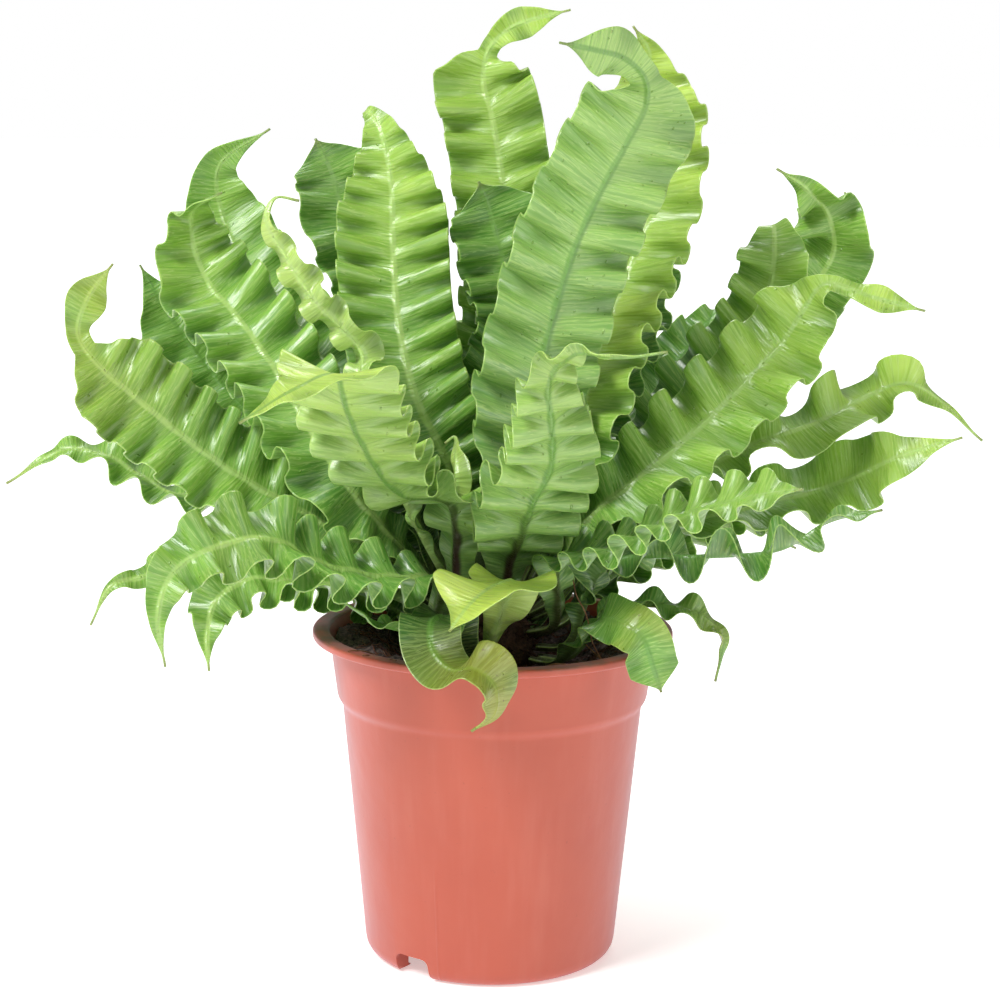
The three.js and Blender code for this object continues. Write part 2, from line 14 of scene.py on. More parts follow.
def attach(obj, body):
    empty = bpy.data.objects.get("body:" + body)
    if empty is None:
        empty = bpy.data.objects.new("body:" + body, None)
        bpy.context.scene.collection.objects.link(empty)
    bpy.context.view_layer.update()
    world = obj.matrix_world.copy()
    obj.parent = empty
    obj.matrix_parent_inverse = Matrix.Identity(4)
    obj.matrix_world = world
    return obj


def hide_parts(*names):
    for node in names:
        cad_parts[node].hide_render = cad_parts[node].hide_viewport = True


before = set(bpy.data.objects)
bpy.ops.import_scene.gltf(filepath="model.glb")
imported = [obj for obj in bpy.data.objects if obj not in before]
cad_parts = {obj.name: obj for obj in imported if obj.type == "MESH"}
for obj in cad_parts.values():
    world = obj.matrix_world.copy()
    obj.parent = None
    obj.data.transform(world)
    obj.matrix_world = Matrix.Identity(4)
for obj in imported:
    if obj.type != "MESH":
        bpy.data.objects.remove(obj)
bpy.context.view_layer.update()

# ---------------------------------------------------------------- driving dimensions, in millimetres
MM = 0.001
CAMERA = Values(
    place=(1.96, -780.0, 294.35), pitch=10.2027, roll=0.5719, lens=86.28, sensor=36,
    clip_start=0.05, clip_end=50,
)

POT = Values(
    height=111, wall=1.3, rim_radius=60, rim_depth=2.6, rim_inner=54.6,
    band_top=54.3, band_bottom=51.7, band_z=88.5, body_top=50, body_z=86,
    body_bottom=42.3, foot_round=5, foot_lip=34.5, floor=9.3,
    segments=192, sharp_from=38,
)
NOTCH = Values(
    centre=-127.5, width=13.5, height=7.7, inner=32, outer=44, sill=0.05, flare=3.0,
    cheek_middle=0.55, half_cheek=0.6,
)
# Section of the short walls beside a notch: (outward, up, how far the corner is rounded).
CHEEK = [
    (35.4, 1.1, 0.3), (38.2, 0.9, 0.8), (40.6, 2.6, 1.2), (41.6, 5.2, 1.0), (41.8, 8.3, 0.2),
    (35.4, 8.3, 0.2),
]
DRAIN = Values(count=6, radius=3.5, ring=25, low=6, high=12, sides=32)
SOIL = Values(
    level=99, bank=6.6, bank_start=27, bank_full=46, heap=2.4, heap_heading=190,
    bump=0.66, calm=18, bumpy=30, edge_gap=0.1, segments=240, rings=76, innermost=0.02,
)
# Noise on the peat: (height, pitch, seed) of each size of clod, and a dip along the wall.
CLODS = [(1.2, 7.0, 3.1), (0.6, 2.2, 9.4)]
DIP = Values(depth=0.8, start=48, full=52, pitch=9.0, seed=5.5)
# How fast the finer octaves of the noise fade, the ratio from each to the next, and their number.
OCTAVES = (0.8, 2.1, 4)
CRUMBS = Values(count=560, inner=13, outer=51, size=(0.35, 1.5), stretch=(0.55, 1.25), rough=0.45)
FIBRE = Values(inner=15, outer=49, end=50.5, length=(6, 20), steps=8, bend=0.09, rise=(0.2, 2.4))
# Longer fibres that stand out of the peat, as knots and a radius: right, left and front.
LOOSE_FIBRES = [
    ([(25.6, -30, 133.6), (26.6, -33, 129.4), (29.4, -36, 124.5), (31, -37, 119.1)], 0.2),
    ([(31, -37, 119.1), (32, -34, 114), (34, -33, 110), (36, -36, 107)], 0.26),
    ([(30, -28, 112), (33, -32, 110), (36, -37, 108), (38, -36, 106.5)], 0.24),
    ([(-36, -28, 107), (-40, -33, 110), (-44, -37, 111.4), (-46, -38, 111.4)], 0.22),
    ([(-32, -32, 107), (-37, -39, 110), (-40, -42.5, 111.3), (-41, -43, 111.3)], 0.2),
    ([(-28, -38, 106), (-31, -43, 109), (-32, -47, 111.2), (-30, -49, 111.3)], 0.18),
    ([(12, -42, 106), (15, -46, 108), (19, -51.5, 111.2), (23, -51.5, 111.3)], 0.18),
]
# Fibres of each shade: their number, the range of their radius, and the longer ones.
FIBRES = {"dark": (260, (0.1, 0.24), []), "pale": (60, (0.1, 0.2), LOOSE_FIBRES)}
CROWN = Values(base=101, radius=15, rise=21)
DOME = Values(
    rows=18, columns=72, lowest=-14, sweep=104, inset=(1, 1, 1.5), swell=0.1,
    grain=30, pitch=6.0, seed=2.7,
)
SCALES = Values(
    count=320, lowest=-6, highest=80, drift=0.35, length=(2.5, 6), bow=0.7, sunk=1.5,
    radius=(0.25, 0.5), taper=[1, 0.9, 0.7, 0.4, 0.08], sides=4,
)
GAP = 0.3  # between neighbouring solids
PEAT_SEED = 7
FIRST_FROND_SEED = 100

BLADE = Values(
    stipe=1.7, stipe_share=0.03, neck=10, inward=0.8, upward=0.6, taper=1.6, belly=0.9,
    lean=0.22, lean_end=0.8, cup=0.15, curl=0.27, calm_curl=0.05, side_lag=40,
    wave_start=0.06, wave_full=0.3, wave_fade=0.75, fade_length=0.25, fade=0.8,
    jitter=38, vigour=0.34, tip=0.35, flap_start=0.86, flap_neck=0.2,
    wave_room=0.6, tightest=0.7, bend_reach=1 / 30,
    rows_per_wave=14, fewest_rows=130, curve_steps=60,
)
# Columns of the blade from midrib to margin, close together at the midrib and at the very edge.
COLUMNS = [0.022, 0.05, 0.09, 0.15, 0.23, 0.32, 0.42, 0.53, 0.65, 0.77, 0.88, 0.965, 1.0]
# Half of the sheet's thickness at the margin, what it gains inward, and where it begins to thin.
SHEET = Values(margin=0.16, gain=0.12, thins_from=0.9)
# The midrib over and under the sheet: its height and width at the tip, each with its gain to the foot.
RIBS = [(0.12, 0.4, 0.35, 0.45), (0.15, 1.25, 0.4, 0.95)]

# Each frond: (azimuth, rise) of its seat on the crown in degrees,
#   (half width, waves, wave height, wave phase in degrees),
#   (share of the length where the blade is full, where it starts to narrow, half width of the flap,
#   share of the length where the waves start to fade),
#   path of its midrib after the neck as (x, y, z) or (x, y, z, roll in degrees).
FRONDS = {
    "tall_back": ((80, 62), (17, 16, 4.8, 20), (0.34, 0.8, 5.5), [(2, 24, 180), (5, 34, 217), (4, 40, 239),
        (1, 44, 261, 5), (-2, 46, 278, 5), (-5, 48, 289, 5), (-4, 48, 299, 5), (1, 46, 306, 5),
        (9, 42, 310), (24, 40, 314, -15)]),
    "dark_back": ((110, 57), (15, 13, 4.6, 90), (0.34, 0.93), [(-5, 6, 173, -15), (7, 11, 210, -15),
        (1, 10, 236, -10), (-3, 11, 250, -5), (-6, 9, 258, -5)]),
    "mid_left": ((140, 62), (18.5, 18, 4.2, 340), (0.42, 0.72), [(-15, -8, 166, -35), (-26, -9, 190, -42),
        (-32, 1, 214, -45), (-34, 9, 236, -45), (-35, 14, 258, -50), (-39, 18, 275, -55),
        (-43, 23, 280, -60), (-45, 32, 278, -60)]),
    "mid_left_behind": ((128, 45), (15, 14, 4.6, 40), (0.34, 0.94), [(-20, 31, 182, -20),
        (-40, 50, 217, -25), (-53, 52, 242, -20), (-57, 55, 257, -15), (-63, 56, 270, -15)]),
    "tall_right": ((300, 72), (19, 14, 5.2, 200), (0.34, 0.76, 8, 0.6), [(11, -25, 185, -20),
        (17, -27, 213, -25), (24, -30, 238, -25), (31, -33, 255, -25), (39, -38, 271, -25),
        (45, -43, 284, -20), (44, -50, 292, -5), (37, -58, 298, 10), (29, -63, 300, 20),
        (18, -68, 302, 20)]),
    "tall_yellow": ((20, 66), (17, 15, 4.6, 90), (0.34, 0.84), [(27, -11, 182, 40), (35, -4, 210, 45),
        (46, 8, 236, 50), (52, 12, 256, 50), (52, 11, 275, 55), (50, 8, 290, 60), (48, 4, 301, 70),
        (43, 0, 308, 75)]),
    "spike_behind": ((36, 54), (12, 12, 4, 10), (0.34, 0.6), [(34, 16, 176, 10), (49, 34, 211, 20),
        (59, 38, 241, 30), (71, 40, 268, 30)]),
    "left_top": ((152, 42), (16, 14, 4.6, 95), (0.34, 0.76, 0, 0.55), [(-34, 5, 172, -20),
        (-75, 39, 212, -45), (-96, 62, 243, -55), (-97, 62, 260, -55), (-79, 60, 273, -55)]),
    "left_high": ((165, 48), (17, 15, 5, 170), (0.34, 0.76), [(-49, -21, 164, -45), (-72, 1, 196, -55),
        (-85, 10, 212, -60), (-96, 16, 224, -60), (-101, 18, 237, -55), (-101, 16, 246, -55),
        (-97, 8, 250, -55), (-89, 0, 254, -20)]),
    "left_behind": ((160, 30), (15, 12, 4.5, 20), (0.34, 0.84), [(-41, 36, 141, -20), (-72, 48, 162, -40),
        (-97, 52, 186, -50), (-115, 54, 210, -50), (-124, 54, 226, -50)]),
    "young_pale": ((200, 58), (5.5, 12, 3.2, 40), (0.5, 0.76), [(-42, -30, 193, 20), (-42, -28, 206, 40),
        (-56, -32, 222, 50), (-65, -30, 235, 50), (-72, -30, 249, 30), (-69, -28, 254, 10),
        (-62, -24, 253)]),
    "left_wide": ((188, 38), (17, 16, 4.8, 240), (0.34, 0.74, 6.5, 0.6), [(-35, -8, 136, -35),
        (-55, -11, 147, -45), (-89, -16, 168, -60), (-113, -20, 188, -70), (-128, -22, 202, -65),
        (-133, -20, 210, -65), (-130, -18, 221, -75), (-122, -16, 232, -75)]),
    "left_far": ((180, 30), (9, 12, 4.2, 300), (0.34, 0.7), [(-33, 13, 132), (-54, 14, 147, -5),
        (-86, 21, 148, -10), (-111, 26, 151, -10), (-131, 28, 162, -20), (-146, 28, 165, -30),
        (-167, 28, 153, -30)]),
    "front_left": ((235, 45), (18, 14, 5, 110), (0.42, 0.78, 0, 0.6), [(-14, -34, 159), (-29, -45, 164),
        (-40, -65, 183), (-44, -80, 197), (-46, -93, 207), (-55, -106, 205), (-72, -110, 195)]),
    "low_left_front": ((218, 20), (13, 12, 5.5, 10), (0.42, 0.7), [(-17, -32, 133, -10),
        (-35, -48, 138, -30), (-53, -66, 146, -40), (-67, -80, 156, -45), (-82, -90, 155, -50),
        (-93, -98, 149, -60), (-97, -102, 137, -70), (-95, -102, 122, -70)]),
    "low_left_mid": ((196, 14), (10.5, 10, 4.4, 170), (0.34, 0.74), [(-28, -13, 122, -10),
        (-63, -26, 131, -25), (-78, -32, 133, -40), (-88, -38, 127, -55), (-90, -44, 117, -60),
        (-89, -48, 107, -60)]),
    "low_left_back": ((170, 8), (11, 11, 4.5, 200), (0.34, 0.55), [(-31, 21, 110), (-67, 15, 124, -5),
        (-88, 9, 131, -15), (-104, 2, 131, -20), (-117, -2, 127, -30), (-126, -6, 125, -40),
        (-133, -8, 112, -40)]),
    "small_left": ((228, 2), (6, 5, 2.5, 250), (0.5, 0.6), [(-24, -38, 117, -10), (-36, -48, 123, -20),
        (-47, -52, 131, -20)]),
    "front_mid": ((282, 45), (17, 14, 5.4, 140), (0.34, 0.42), [(5, -27, 138), (8, -39, 148),
        (12, -53, 163), (17, -62, 175), (17, -75, 190), (16, -86, 205), (23, -97, 214), (36, -104, 214),
        (49, -106, 216)]),
    "young_fold": ((268, 20), (15.5, 3, 5.5, 265), (0.72, 0.82), [(4, -36, 128, -6), (6, -48, 136, -6),
        (5, -56, 139, -6), (-1, -65, 138, -8), (-7, -71, 134, -10), (-13, -75, 127, -10)]),
    "front_droop": ((258, 4), (9.5, 4, 3.5, 20), (0.3, 0.82), [(-15, -40, 123), (-19, -58, 125),
        (-18, -68, 119), (-12, -75, 115), (-5, -79, 116), (1, -80, 111), (1, -80, 103), (-6, -79, 97)]),
    "right_droop": ((325, 4), (8, 4, 3.2, 50), (0.4, 0.9), [(34, -34, 121, 30), (41, -49, 124, 40),
        (47, -53, 120, 40), (50, -54, 112, 40), (53, -53, 103, 40)]),
    "right_droop_far": ((352, 2), (5.5, 6, 3, 90), (0.4, 0.6), [(40, -4, 119, 10), (55, -5, 120, 20),
        (64, -7, 119, 30), (71, -8, 116, 40), (76, -8, 109, 40), (74, -8, 95, 40)]),
    "right_wavy": ((330, 28), (10, 12, 5, 180), (0.34, 0.9), [(21, -30, 139), (39, -52, 149, 10),
        (56, -70, 162, 15), (73, -84, 170, 20), (90, -94, 175, 20)]),
    "right_low": ((344, 12), (9, 7, 7, 0), (0.34, 0.8, 4), [(34, -15, 133), (43, -19, 139), (66, -26, 141),
        (92, -28, 144), (107, -28, 153, 10), (124, -28, 157, 20)]),
    "right_wide": ((5, 42), (16, 11, 5.5, 80), (0.34, 0.72, 4.5), [(28, -9, 146, 35), (46, -12, 163, 40),
        (61, -4, 174, 50), (73, 2, 184, 55), (86, 6, 197, 55), (96, 8, 208, 50), (102, 6, 219, 50),
        (108, 4, 226, 50), (123, 2, 222, 50), (140, 0, 218, 50)]),
    "right_high": ((26, 46), (12.5, 13, 4.4, 40), (0.34, 0.86), [(42, 19, 158, 20), (66, 32, 187, 35),
        (87, 38, 209, 45), (94, 40, 224, 50), (95, 42, 236, 50), (95, 46, 242, 45), (95, 56, 240, 45)]),
    "right_high_far": ((36, 38), (14, 13, 4.8, 80), (0.34, 0.84, 0, 0.95), [(50, 56, 150, 20),
        (82, 77, 187, 30), (109, 79, 213, 45), (120, 76, 232, 50), (116, 70, 246, 60), (108, 64, 254, 70),
        (97, 60, 261, 70)]),
    "right_top_back": ((42, 30), (11, 12, 4.5, 130), (0.34, 0.7), [(50, 62, 146, 15), (89, 94, 188, 35),
        (123, 104, 223, 45), (133, 106, 240, 40), (127, 104, 251, 40)]),
    "right_far_up": ((17, 34), (11, 7, 6.2, 170), (0.34, 0.72), [(46, 15, 147, 10), (75, 27, 163, 20),
        (98, 27, 173, 30), (114, 32, 178, 45), (130, 42, 185, 40), (145, 42, 188, 30), (169, 42, 169, 20)]),
    "right_far_low": ((2, 24), (13, 8, 3.4, 210), (0.34, 0.78), [(48, 10, 138, 10), (82, 22, 147, 30),
        (114, 30, 154, 50), (127, 24, 161, 60), (138, 16, 168, 60), (157, 16, 174, 50)]),
    "right_behind": ((60, 46), (12, 12, 4.2, 300), (0.34, 0.7), [(39, 47, 167, 20), (55, 64, 180, 40),
        (70, 74, 199, 40), (79, 85, 209, 30), (69, 96, 203, 20)]),
    "young_curl": ((215, 66), (5, 3, 1.5, 0), (0.6, 0.7), [(-10, -15, 149), (-12, -25, 166),
        (-13, -14, 177), (-16, -15, 175)]),
    "rear_high_left": ((100, 44), (14, 12, 4.5, 40), (0.34, 0.7), [(-13, 38, 150), (-20, 68, 181),
        (-14, 96, 202), (-17, 115, 200)]),
    "rear_high_right": ((74, 52), (14, 12, 4.5, 200), (0.34, 0.7), [(7, 25, 149), (14, 56, 184),
        (21, 85, 216), (27, 109, 224)]),
    "rear_mid_left": ((124, 38), (15, 12, 4.8, 80), (0.34, 0.7), [(-34, 22, 159), (-41, 44, 184),
        (-46, 67, 199), (-66, 98, 190)]),
    "rear_mid": ((90, 34), (16, 12, 5, 130), (0.34, 0.7), [(-10, 38, 137), (-7, 66, 161), (-1, 88, 179),
        (0, 113, 164)]),
    "rear_mid_right": ((66, 32), (15, 12, 4.6, 290), (0.34, 0.7), [(11, 41, 131), (22, 72, 159),
        (38, 94, 170), (46, 113, 162)]),
    "rear_low_left": ((140, 20), (13, 11, 4.5, 10), (0.34, 0.7), [(-27, 26, 120), (-50, 45, 139),
        (-71, 64, 146), (-89, 80, 134)]),
    "rear_low": ((106, 18), (13, 11, 4.5, 240), (0.34, 0.7), [(-7, 44, 109), (-15, 70, 132), (-26, 92, 142),
        (-33, 114, 126)]),
    "rear_low_right": ((74, 18), (13, 11, 4.5, 120), (0.34, 0.7), [(11, 39, 120), (19, 69, 138),
        (23, 93, 143), (29, 115, 124)]),
    "rear_side_right": ((28, 16), (13, 11, 4.5, 30), (0.34, 0.7), [(32, 15, 118), (60, 31, 132),
        (84, 43, 139), (107, 54, 128)]),
    "rear_droop_left": ((124, 6), (9, 7, 3, 60), (0.4, 0.6), [(-22, 31, 114), (-36, 53, 126),
        (-46, 68, 118), (-51, 76, 92)]),
    "rear_droop_right": ((62, 4), (9, 7, 3, 190), (0.4, 0.6), [(18, 36, 114), (31, 57, 125), (39, 73, 117),
        (43, 81, 93)]),
}

# Fronds whose waves stay open instead of rolling over at their crests.
CALM_FRONDS = ("right_low", "right_droop", "right_droop_far", "front_droop", "young_fold", "left_far")

# How a frond's leaf looks, where it isn't the usual one: age from pale young (0 or less) to dark old
# (1), yellowing of the tip, wetness, and how dark the base of the midrib is.
USUAL_LOOK = (0.5, 0.1, 0.15, 0.5)
LOOKS = {
    # dark_back's age is raised to darken it, partly as painted shade.
    "tall_back": (0.36, 0.2, 0.1, 0.3), "dark_back": (0.64, 0, 0.1, 0.4),
    "mid_left": (0.44, 0.2, 0.2, 0.2), "mid_left_behind": (0.62, 0, 0.1, 0.4),
    "tall_right": (0.42, 0.1, 1, 0.9), "tall_yellow": (0.28, 0.25, 0.3, 0.2),
    # spike_behind's age is raised to darken it, partly as painted shade.
    "spike_behind": (0.68, 0, 0, 0.4), "left_top": (0.58, 0, 0.1, 0.3), "left_high": (0.52, 0, 0.2, 0.3),
    "left_behind": (0.68, 0.1, 0, 0.4), "young_pale": (0.16, 0.2, 0.1, 0.1),
    "left_wide": (0.54, 0.5, 0.5, 0.3), "left_far": (0.55, 0.3, 0.2, 0.3),
    "front_left": (0.28, 0.15, 0.9, 1), "low_left_front": (0.54, 0.3, 0.5, 0.5),
    "small_left": (0.9, 0.3, 0, 0.5), "front_mid": (0.35, 0.2, 0.9, 1),
    "young_fold": (-0.3, 0.1, 0.2, 0.1), "front_droop": (0.9, 1, 0.6, 0.5),
    "right_droop": (0.68, 1, 0.2, 0.5), "right_droop_far": (0.66, 0.6, 0.1, 0.5),
    "right_wavy": (0.46, 0.1, 0.9, 0.7), "right_low": (0.7, 0.1, 0.3, 0.5),
    "right_wide": (0.29, 0.1, 0.9, 0.65), "right_far_up": (0.3, 0.1, 0.3, 0.3),
    "right_far_low": (0.32, 0.1, 0.3, 0.3), "right_behind": (0.75, 0, 0, 0.4),
    "young_curl": (0.14, 0.1, 0, 0.1), "rear_mid": (0.4, 0.1, 0.3, 0.4),
    "rear_high_right": (0.4, 0.2, 0.2, 0.3), "rear_low_left": (0.65, 0.6, 0.1, 0.5),
    "rear_droop_left": (0.8, 1, 0, 0.5), "rear_droop_right": (0.75, 0.8, 0, 0.5),
}

# ---------------------------------------------------------------- looks
# Layers of colour over the leaf and the pot: the values where the mask is 0 and where it is 1, how
# strong the layer is, and its colour of 0 to 255.
LAYERS = {
    "pale_back": (0.85, 0.35, 0.42, (158, 189, 122)),
    "dark_streaks": (0.54, 0.36, 0.2, (62, 116, 34)),
    "pale_streaks": (0.52, 0.7, 0.17, (184, 210, 122)),
    "side_veins": (0.45, 1.0, 0.2, (184, 210, 122)),
    "hairlines": (0.035, 0.008, 0.3, (198, 220, 140)),
    # painted shade: darker green in the troughs of the waves, on each face
    "painted_trough_shade": (0.15, -0.8, 0.42, (52, 108, 26)),
    "rib_foot": (0.42, 0.16, 1.0, (64, 40, 34)),
    "stalk": (0.16, 0.04, 0.75, (58, 48, 26)),
    "margin": (0.965, 1.0, 0.4, (180, 206, 116)),
    "yellowed": (0.38, 0.6, 0.75, (164, 162, 54)),
    "withered": (0.975, 0.995, 0.45, (106, 88, 48)),
    "spots": (0.16, 0.05, 0.8, (92, 66, 34)),
    "flow_marks": (0.45, 0.85, 0.22, (206, 124, 107)),
    "scuffs": (0.66, 0.78, 0.35, (188, 78, 56)),
    "specks": (0.68, 0.8, 0.35, (150, 74, 58)),
    "rim_dirt": (0.38, 0.62, 0.75, (122, 84, 66)),
    "lip": (0.0575, 0.055, 0.4, (92, 60, 50)),
}
# Scale, detail and roughness of each noise.
NOISES = {
    "blotch": (34.0, 2.0, 0.55), "gloss": (90.0, 2.0, 0.55), "leaf_grain": (2600.0, 1.0, 0.55),
    "streaks": (1.0, 2.0, 0.6), "folds": (1.0, 1.0, 0.55),
    "cloud": (28.0, 3.0, 0.55), "pot_grain": (900.0, 2.0, 0.55), "flow_marks": (1.0, 3.0, 0.55),
    "scuffs": (130.0, 4.0, 0.7), "specks": (620.0, 2.0, 0.6), "rim_dirt": (75.0, 4.0, 0.65),
    "paper": (3.0, 2.0, 0.55),
}
# The leaf's green from young to old.
GREENS = [
    (0.0, (198, 220, 92)), (0.22, (152, 190, 74)), (0.42, (116, 166, 60)),
    (0.65, (80, 134, 48)), (0.85, (54, 98, 38)), (1.0, (36, 68, 30)),
]
# How far the age shifts with blotches, by chance, towards the tip and towards the foot.
AGEING = Values(blotch=0.55, chance=0.1, tip=-0.14, foot=0.3)
# Noises that are long from midrib to margin: their scale along the blade and across it.
DRAWN_OUT = {"streaks": (1.5, 0.07), "folds": (0.3, 0.1)}
VEINS = Values(pitch=1.3, drift=9.0)
RIB = Values(width=2.3, taper=-1.2, strength=0.75, green_back=0.8, brown_front=0.4)
RIB_COLOURS = [(172, 204, 116), (98, 146, 64)]
SPOT_CELLS = 0.32
DROPS = Values(cells=0.42, share=0.42, gloss=0.25)
# Heights of what stands on the leaf, in millimetres.
LEAF_RELIEF = {"veins": 0.05, "streaks": 0.2, "folds": 0.9, "leaf_grain": 0.02, "drops": 0.35}
LEAF_FINISH = {
    "Specular IOR Level": 0.6, "Coat Weight": 0.16, "Coat Roughness": 0.12,
    "Subsurface Weight": 0.25, "Subsurface Radius": (0.6, 1.0, 0.2), "Subsurface Scale": 0.0012,
}
POT_COLOURS = [(180, 80, 58), (194, 95, 71)]
FLOW = (130.0, 130.0, 12.0)
# A moulded crease low on the pot: its turn and half widths in radians, and its top in metres.
CREASE = Values(turn=math.radians(-113), outer=0.016, inner=0.002, top=0.046, full=0.03)
POT_RELIEF = {"pot_grain": 0.02, "cloud": 0.9, "crease": 0.12, "scuffs": 0.05}
SHEEN_TINT = (214, 200, 236)
POT_FINISH = {
    "Sheen Weight": 0.3, "Sheen Roughness": 0.45,
    "Subsurface Weight": 0.08, "Subsurface Radius": (1.0, 0.35, 0.2), "Subsurface Scale": 0.002,
}
# Rough natural surfaces: dark and light colour, and the pitch and depth of their relief.
ROUGH = {
    "peat": ((46, 40, 43), (138, 117, 113), 1.6, 0.8),
    "fibre_dark": ((58, 34, 27), (128, 80, 58), 2.0, 0.05),
    "fibre_pale": ((104, 70, 50), (168, 126, 92), 2.0, 0.05),
    "rhizome": ((38, 24, 16), (96, 66, 44), 1.2, 0.5),
}

# The floor in metres: its radius, and where its own glow near the plant turns into the far one.
FLOOR = Values(radius=9.0, sides=96, near=0.35, far=2.2, near_glow=0.42, far_glow=1.0)
WORLD = Values(ambient=0.3, backdrop=1.0)  # its light on the plant, and as the camera sees it
# Lamps: name, place and target in metres, width and power.
LAMPS = [
    ("key", (-0.85, -0.8, 1.3), (0, 0, 0.17), 0.6, 24),
    ("fill", (1.3, -1.1, 0.7), (0, 0, 0.15), 1.0, 6),
    ("top", (0.25, 0.7, 1.5), (0, 0, 0.2), 0.8, 12),
]


# ---------------------------------------------------------------- small helpers
def smooth(low, high, value):
    """0 below low, 1 above high, and a smooth step between them; low > high turns it round."""
    t = np.clip((np.asarray(value, float) - low) / (high - low), 0, 1)
    return t * t * (3 - 2 * t)


def eased(values, at):
    """Values at places counted along a list, eased from each listed one to the next."""
    low = np.minimum(at.astype(int), len(values) - 2)
    step = smooth(0, 1, at - low)
    return values[low] * (1 - step) + values[low + 1] * step


def unit(vectors):
    return vectors / np.maximum(np.linalg.norm(vectors, axis=-1, keepdims=True), 1e-12)


def around(radius, turn):
    """The flat point at a radius and a turn about +Z, in radians."""
    return radius * math.cos(turn), radius * math.sin(turn)


def ray(turn, rise):
    """The direction at a turn about +Z and a rise above level, in radians."""
    return np.array([math.cos(turn) * math.cos(rise), math.sin(turn) * math.cos(rise), math.sin(rise)])


def srgb(red, green, blue):
    """A picture colour of 0 to 255 as a linear colour for a shader."""
    linear = [c / 255 / 12.92 if c < 11 else ((c / 255 + 0.055) / 1.055) ** 2.4 for c in (red, green, blue)]
    return (*linear, 1.0)


def settled(thing, **settings):
    """The thing, with its settings made."""
    for key, value in settings.items():
        setattr(thing, key, value)
    return thing


def add_object(name, data):
    added = bpy.data.objects.new(name, data)
    bpy.context.scene.collection.objects.link(added)
    return added


def make_mesh(name, points, faces, smooth_faces=True):
    """A mesh object at the origin, from points in millimetres."""
    mesh = bpy.data.meshes.new(name)
    mesh.from_pydata((np.asarray(points) * MM).tolist(), [], faces)
    mesh.validate()
    if smooth_faces:
        mesh.shade_smooth()
    return add_object(name, mesh)


def place_piece(piece, material, slot, *nodes):
    """The piece rides on the part's one body, wears the material given and stands for the nodes; slot is not
    used.
    """
    piece.data.materials.append(material)
    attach(piece, "root")
    if nodes:
        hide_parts(*nodes)


def join_meshes(parts):
    """Points and faces of several meshes as one."""
    points, faces, start = [], [], 0
    for part_points, part_faces in parts:
        points.append(np.asarray(part_points, float))
        faces.extend([tuple(start + corner for corner in face) for face in part_faces])
        start += len(part_points)
    return np.concatenate(points), faces


def grid_faces(rows, columns, start=0, wrap=False):
    """Quads of a grid of points, [row][column]; wrap joins the last column to the first."""
    faces = []
    for i in range(rows - 1):
        for j in range(columns if wrap else columns - 1):
            k = (j + 1) % columns
            faces.append((start + i * columns + j, start + i * columns + k,
                          start + (i + 1) * columns + k, start + (i + 1) * columns + j))
    return faces


# ---------------------------------------------------------------- fronds
def seat_of(azimuth, rise):
    """A frond's seat on the crown's dome, and the direction square to the dome there."""
    outward = ray(math.radians(azimuth), math.radians(rise))
    size = np.array([CROWN.radius, CROWN.radius, CROWN.rise])
    normal = unit(outward / size)
    return outward * size + (0, 0, CROWN.base) + GAP * normal, normal


def curve_through(knots, steps):
    """Points of a centripetal Catmull-Rom curve, and the place of each along the knots."""
    knots = np.asarray(knots, float)
    ends = np.vstack([2 * knots[0] - knots[1], knots, 2 * knots[-1] - knots[-2]])
    t = np.linspace(0, 1, steps, endpoint=False)[:, None]
    points, along = [], []
    for i in range(len(knots) - 1):
        before, start, end, after = ends[i:i + 4]
        first, span, last = (max(math.sqrt(np.linalg.norm(v)), 1e-4)
                             for v in (start - before, end - start, after - end))
        leave = ((start - before) / first - (end - before) / (first + span) + (end - start) / span) * span
        arrive = ((end - start) / span - (after - start) / (span + last) + (after - end) / last) * span
        cubic = 2 * start - 2 * end + leave + arrive
        square = 3 * end - 3 * start - 2 * leave - arrive
        points.append(start + leave * t + square * t**2 + cubic * t**3)
        along.append(i + t[:, 0])
    return np.vstack([*points, knots[-1:]]), np.append(np.concatenate(along), len(knots) - 1)


def spine_frames(seat, path, rows):
    """Places, forward, up and side directions, and bend in the blade, at even steps along the midrib."""
    point, normal = seat_of(*seat)
    knots = [point, point + BLADE.neck * normal, *[knot[:3] for knot in path]]
    rolls = np.array([0, 0, *[knot[3] if len(knot) > 3 else 0 for knot in path]], float)
    fine, along = curve_through(knots, BLADE.curve_steps)
    travelled = np.concatenate([[0], np.cumsum(np.linalg.norm(np.diff(fine, axis=0), axis=1))])
    stations = np.linspace(0, travelled[-1], rows + 1)
    place = np.column_stack([np.interp(stations, travelled, fine[:, k]) for k in range(3)])
    roll = np.radians(eased(rolls, np.interp(stations, travelled, along)))[:, None]
    forward = unit(np.gradient(place, axis=0))
    inward = around(-BLADE.inward, math.radians(seat[0]))
    up = np.array([*inward, BLADE.upward])
    ups = []
    for direction in forward:
        up = unit(up - up.dot(direction) * direction)
        ups.append(up)
    ups = np.array(ups)
    rolled = ups * np.cos(roll) + np.cross(forward, ups) * np.sin(roll)
    side = np.cross(forward, rolled)
    reach = max(round(rows * BLADE.bend_reach), 1)
    low = np.maximum(np.arange(rows + 1) - reach, 0)
    high = np.minimum(np.arange(rows + 1) + reach, rows)
    turn = np.einsum("ij,ij->i", forward[high] - forward[low], side)
    bend = turn / (stations[high] - stations[low])
    return stations, place, forward, rolled, side, bend


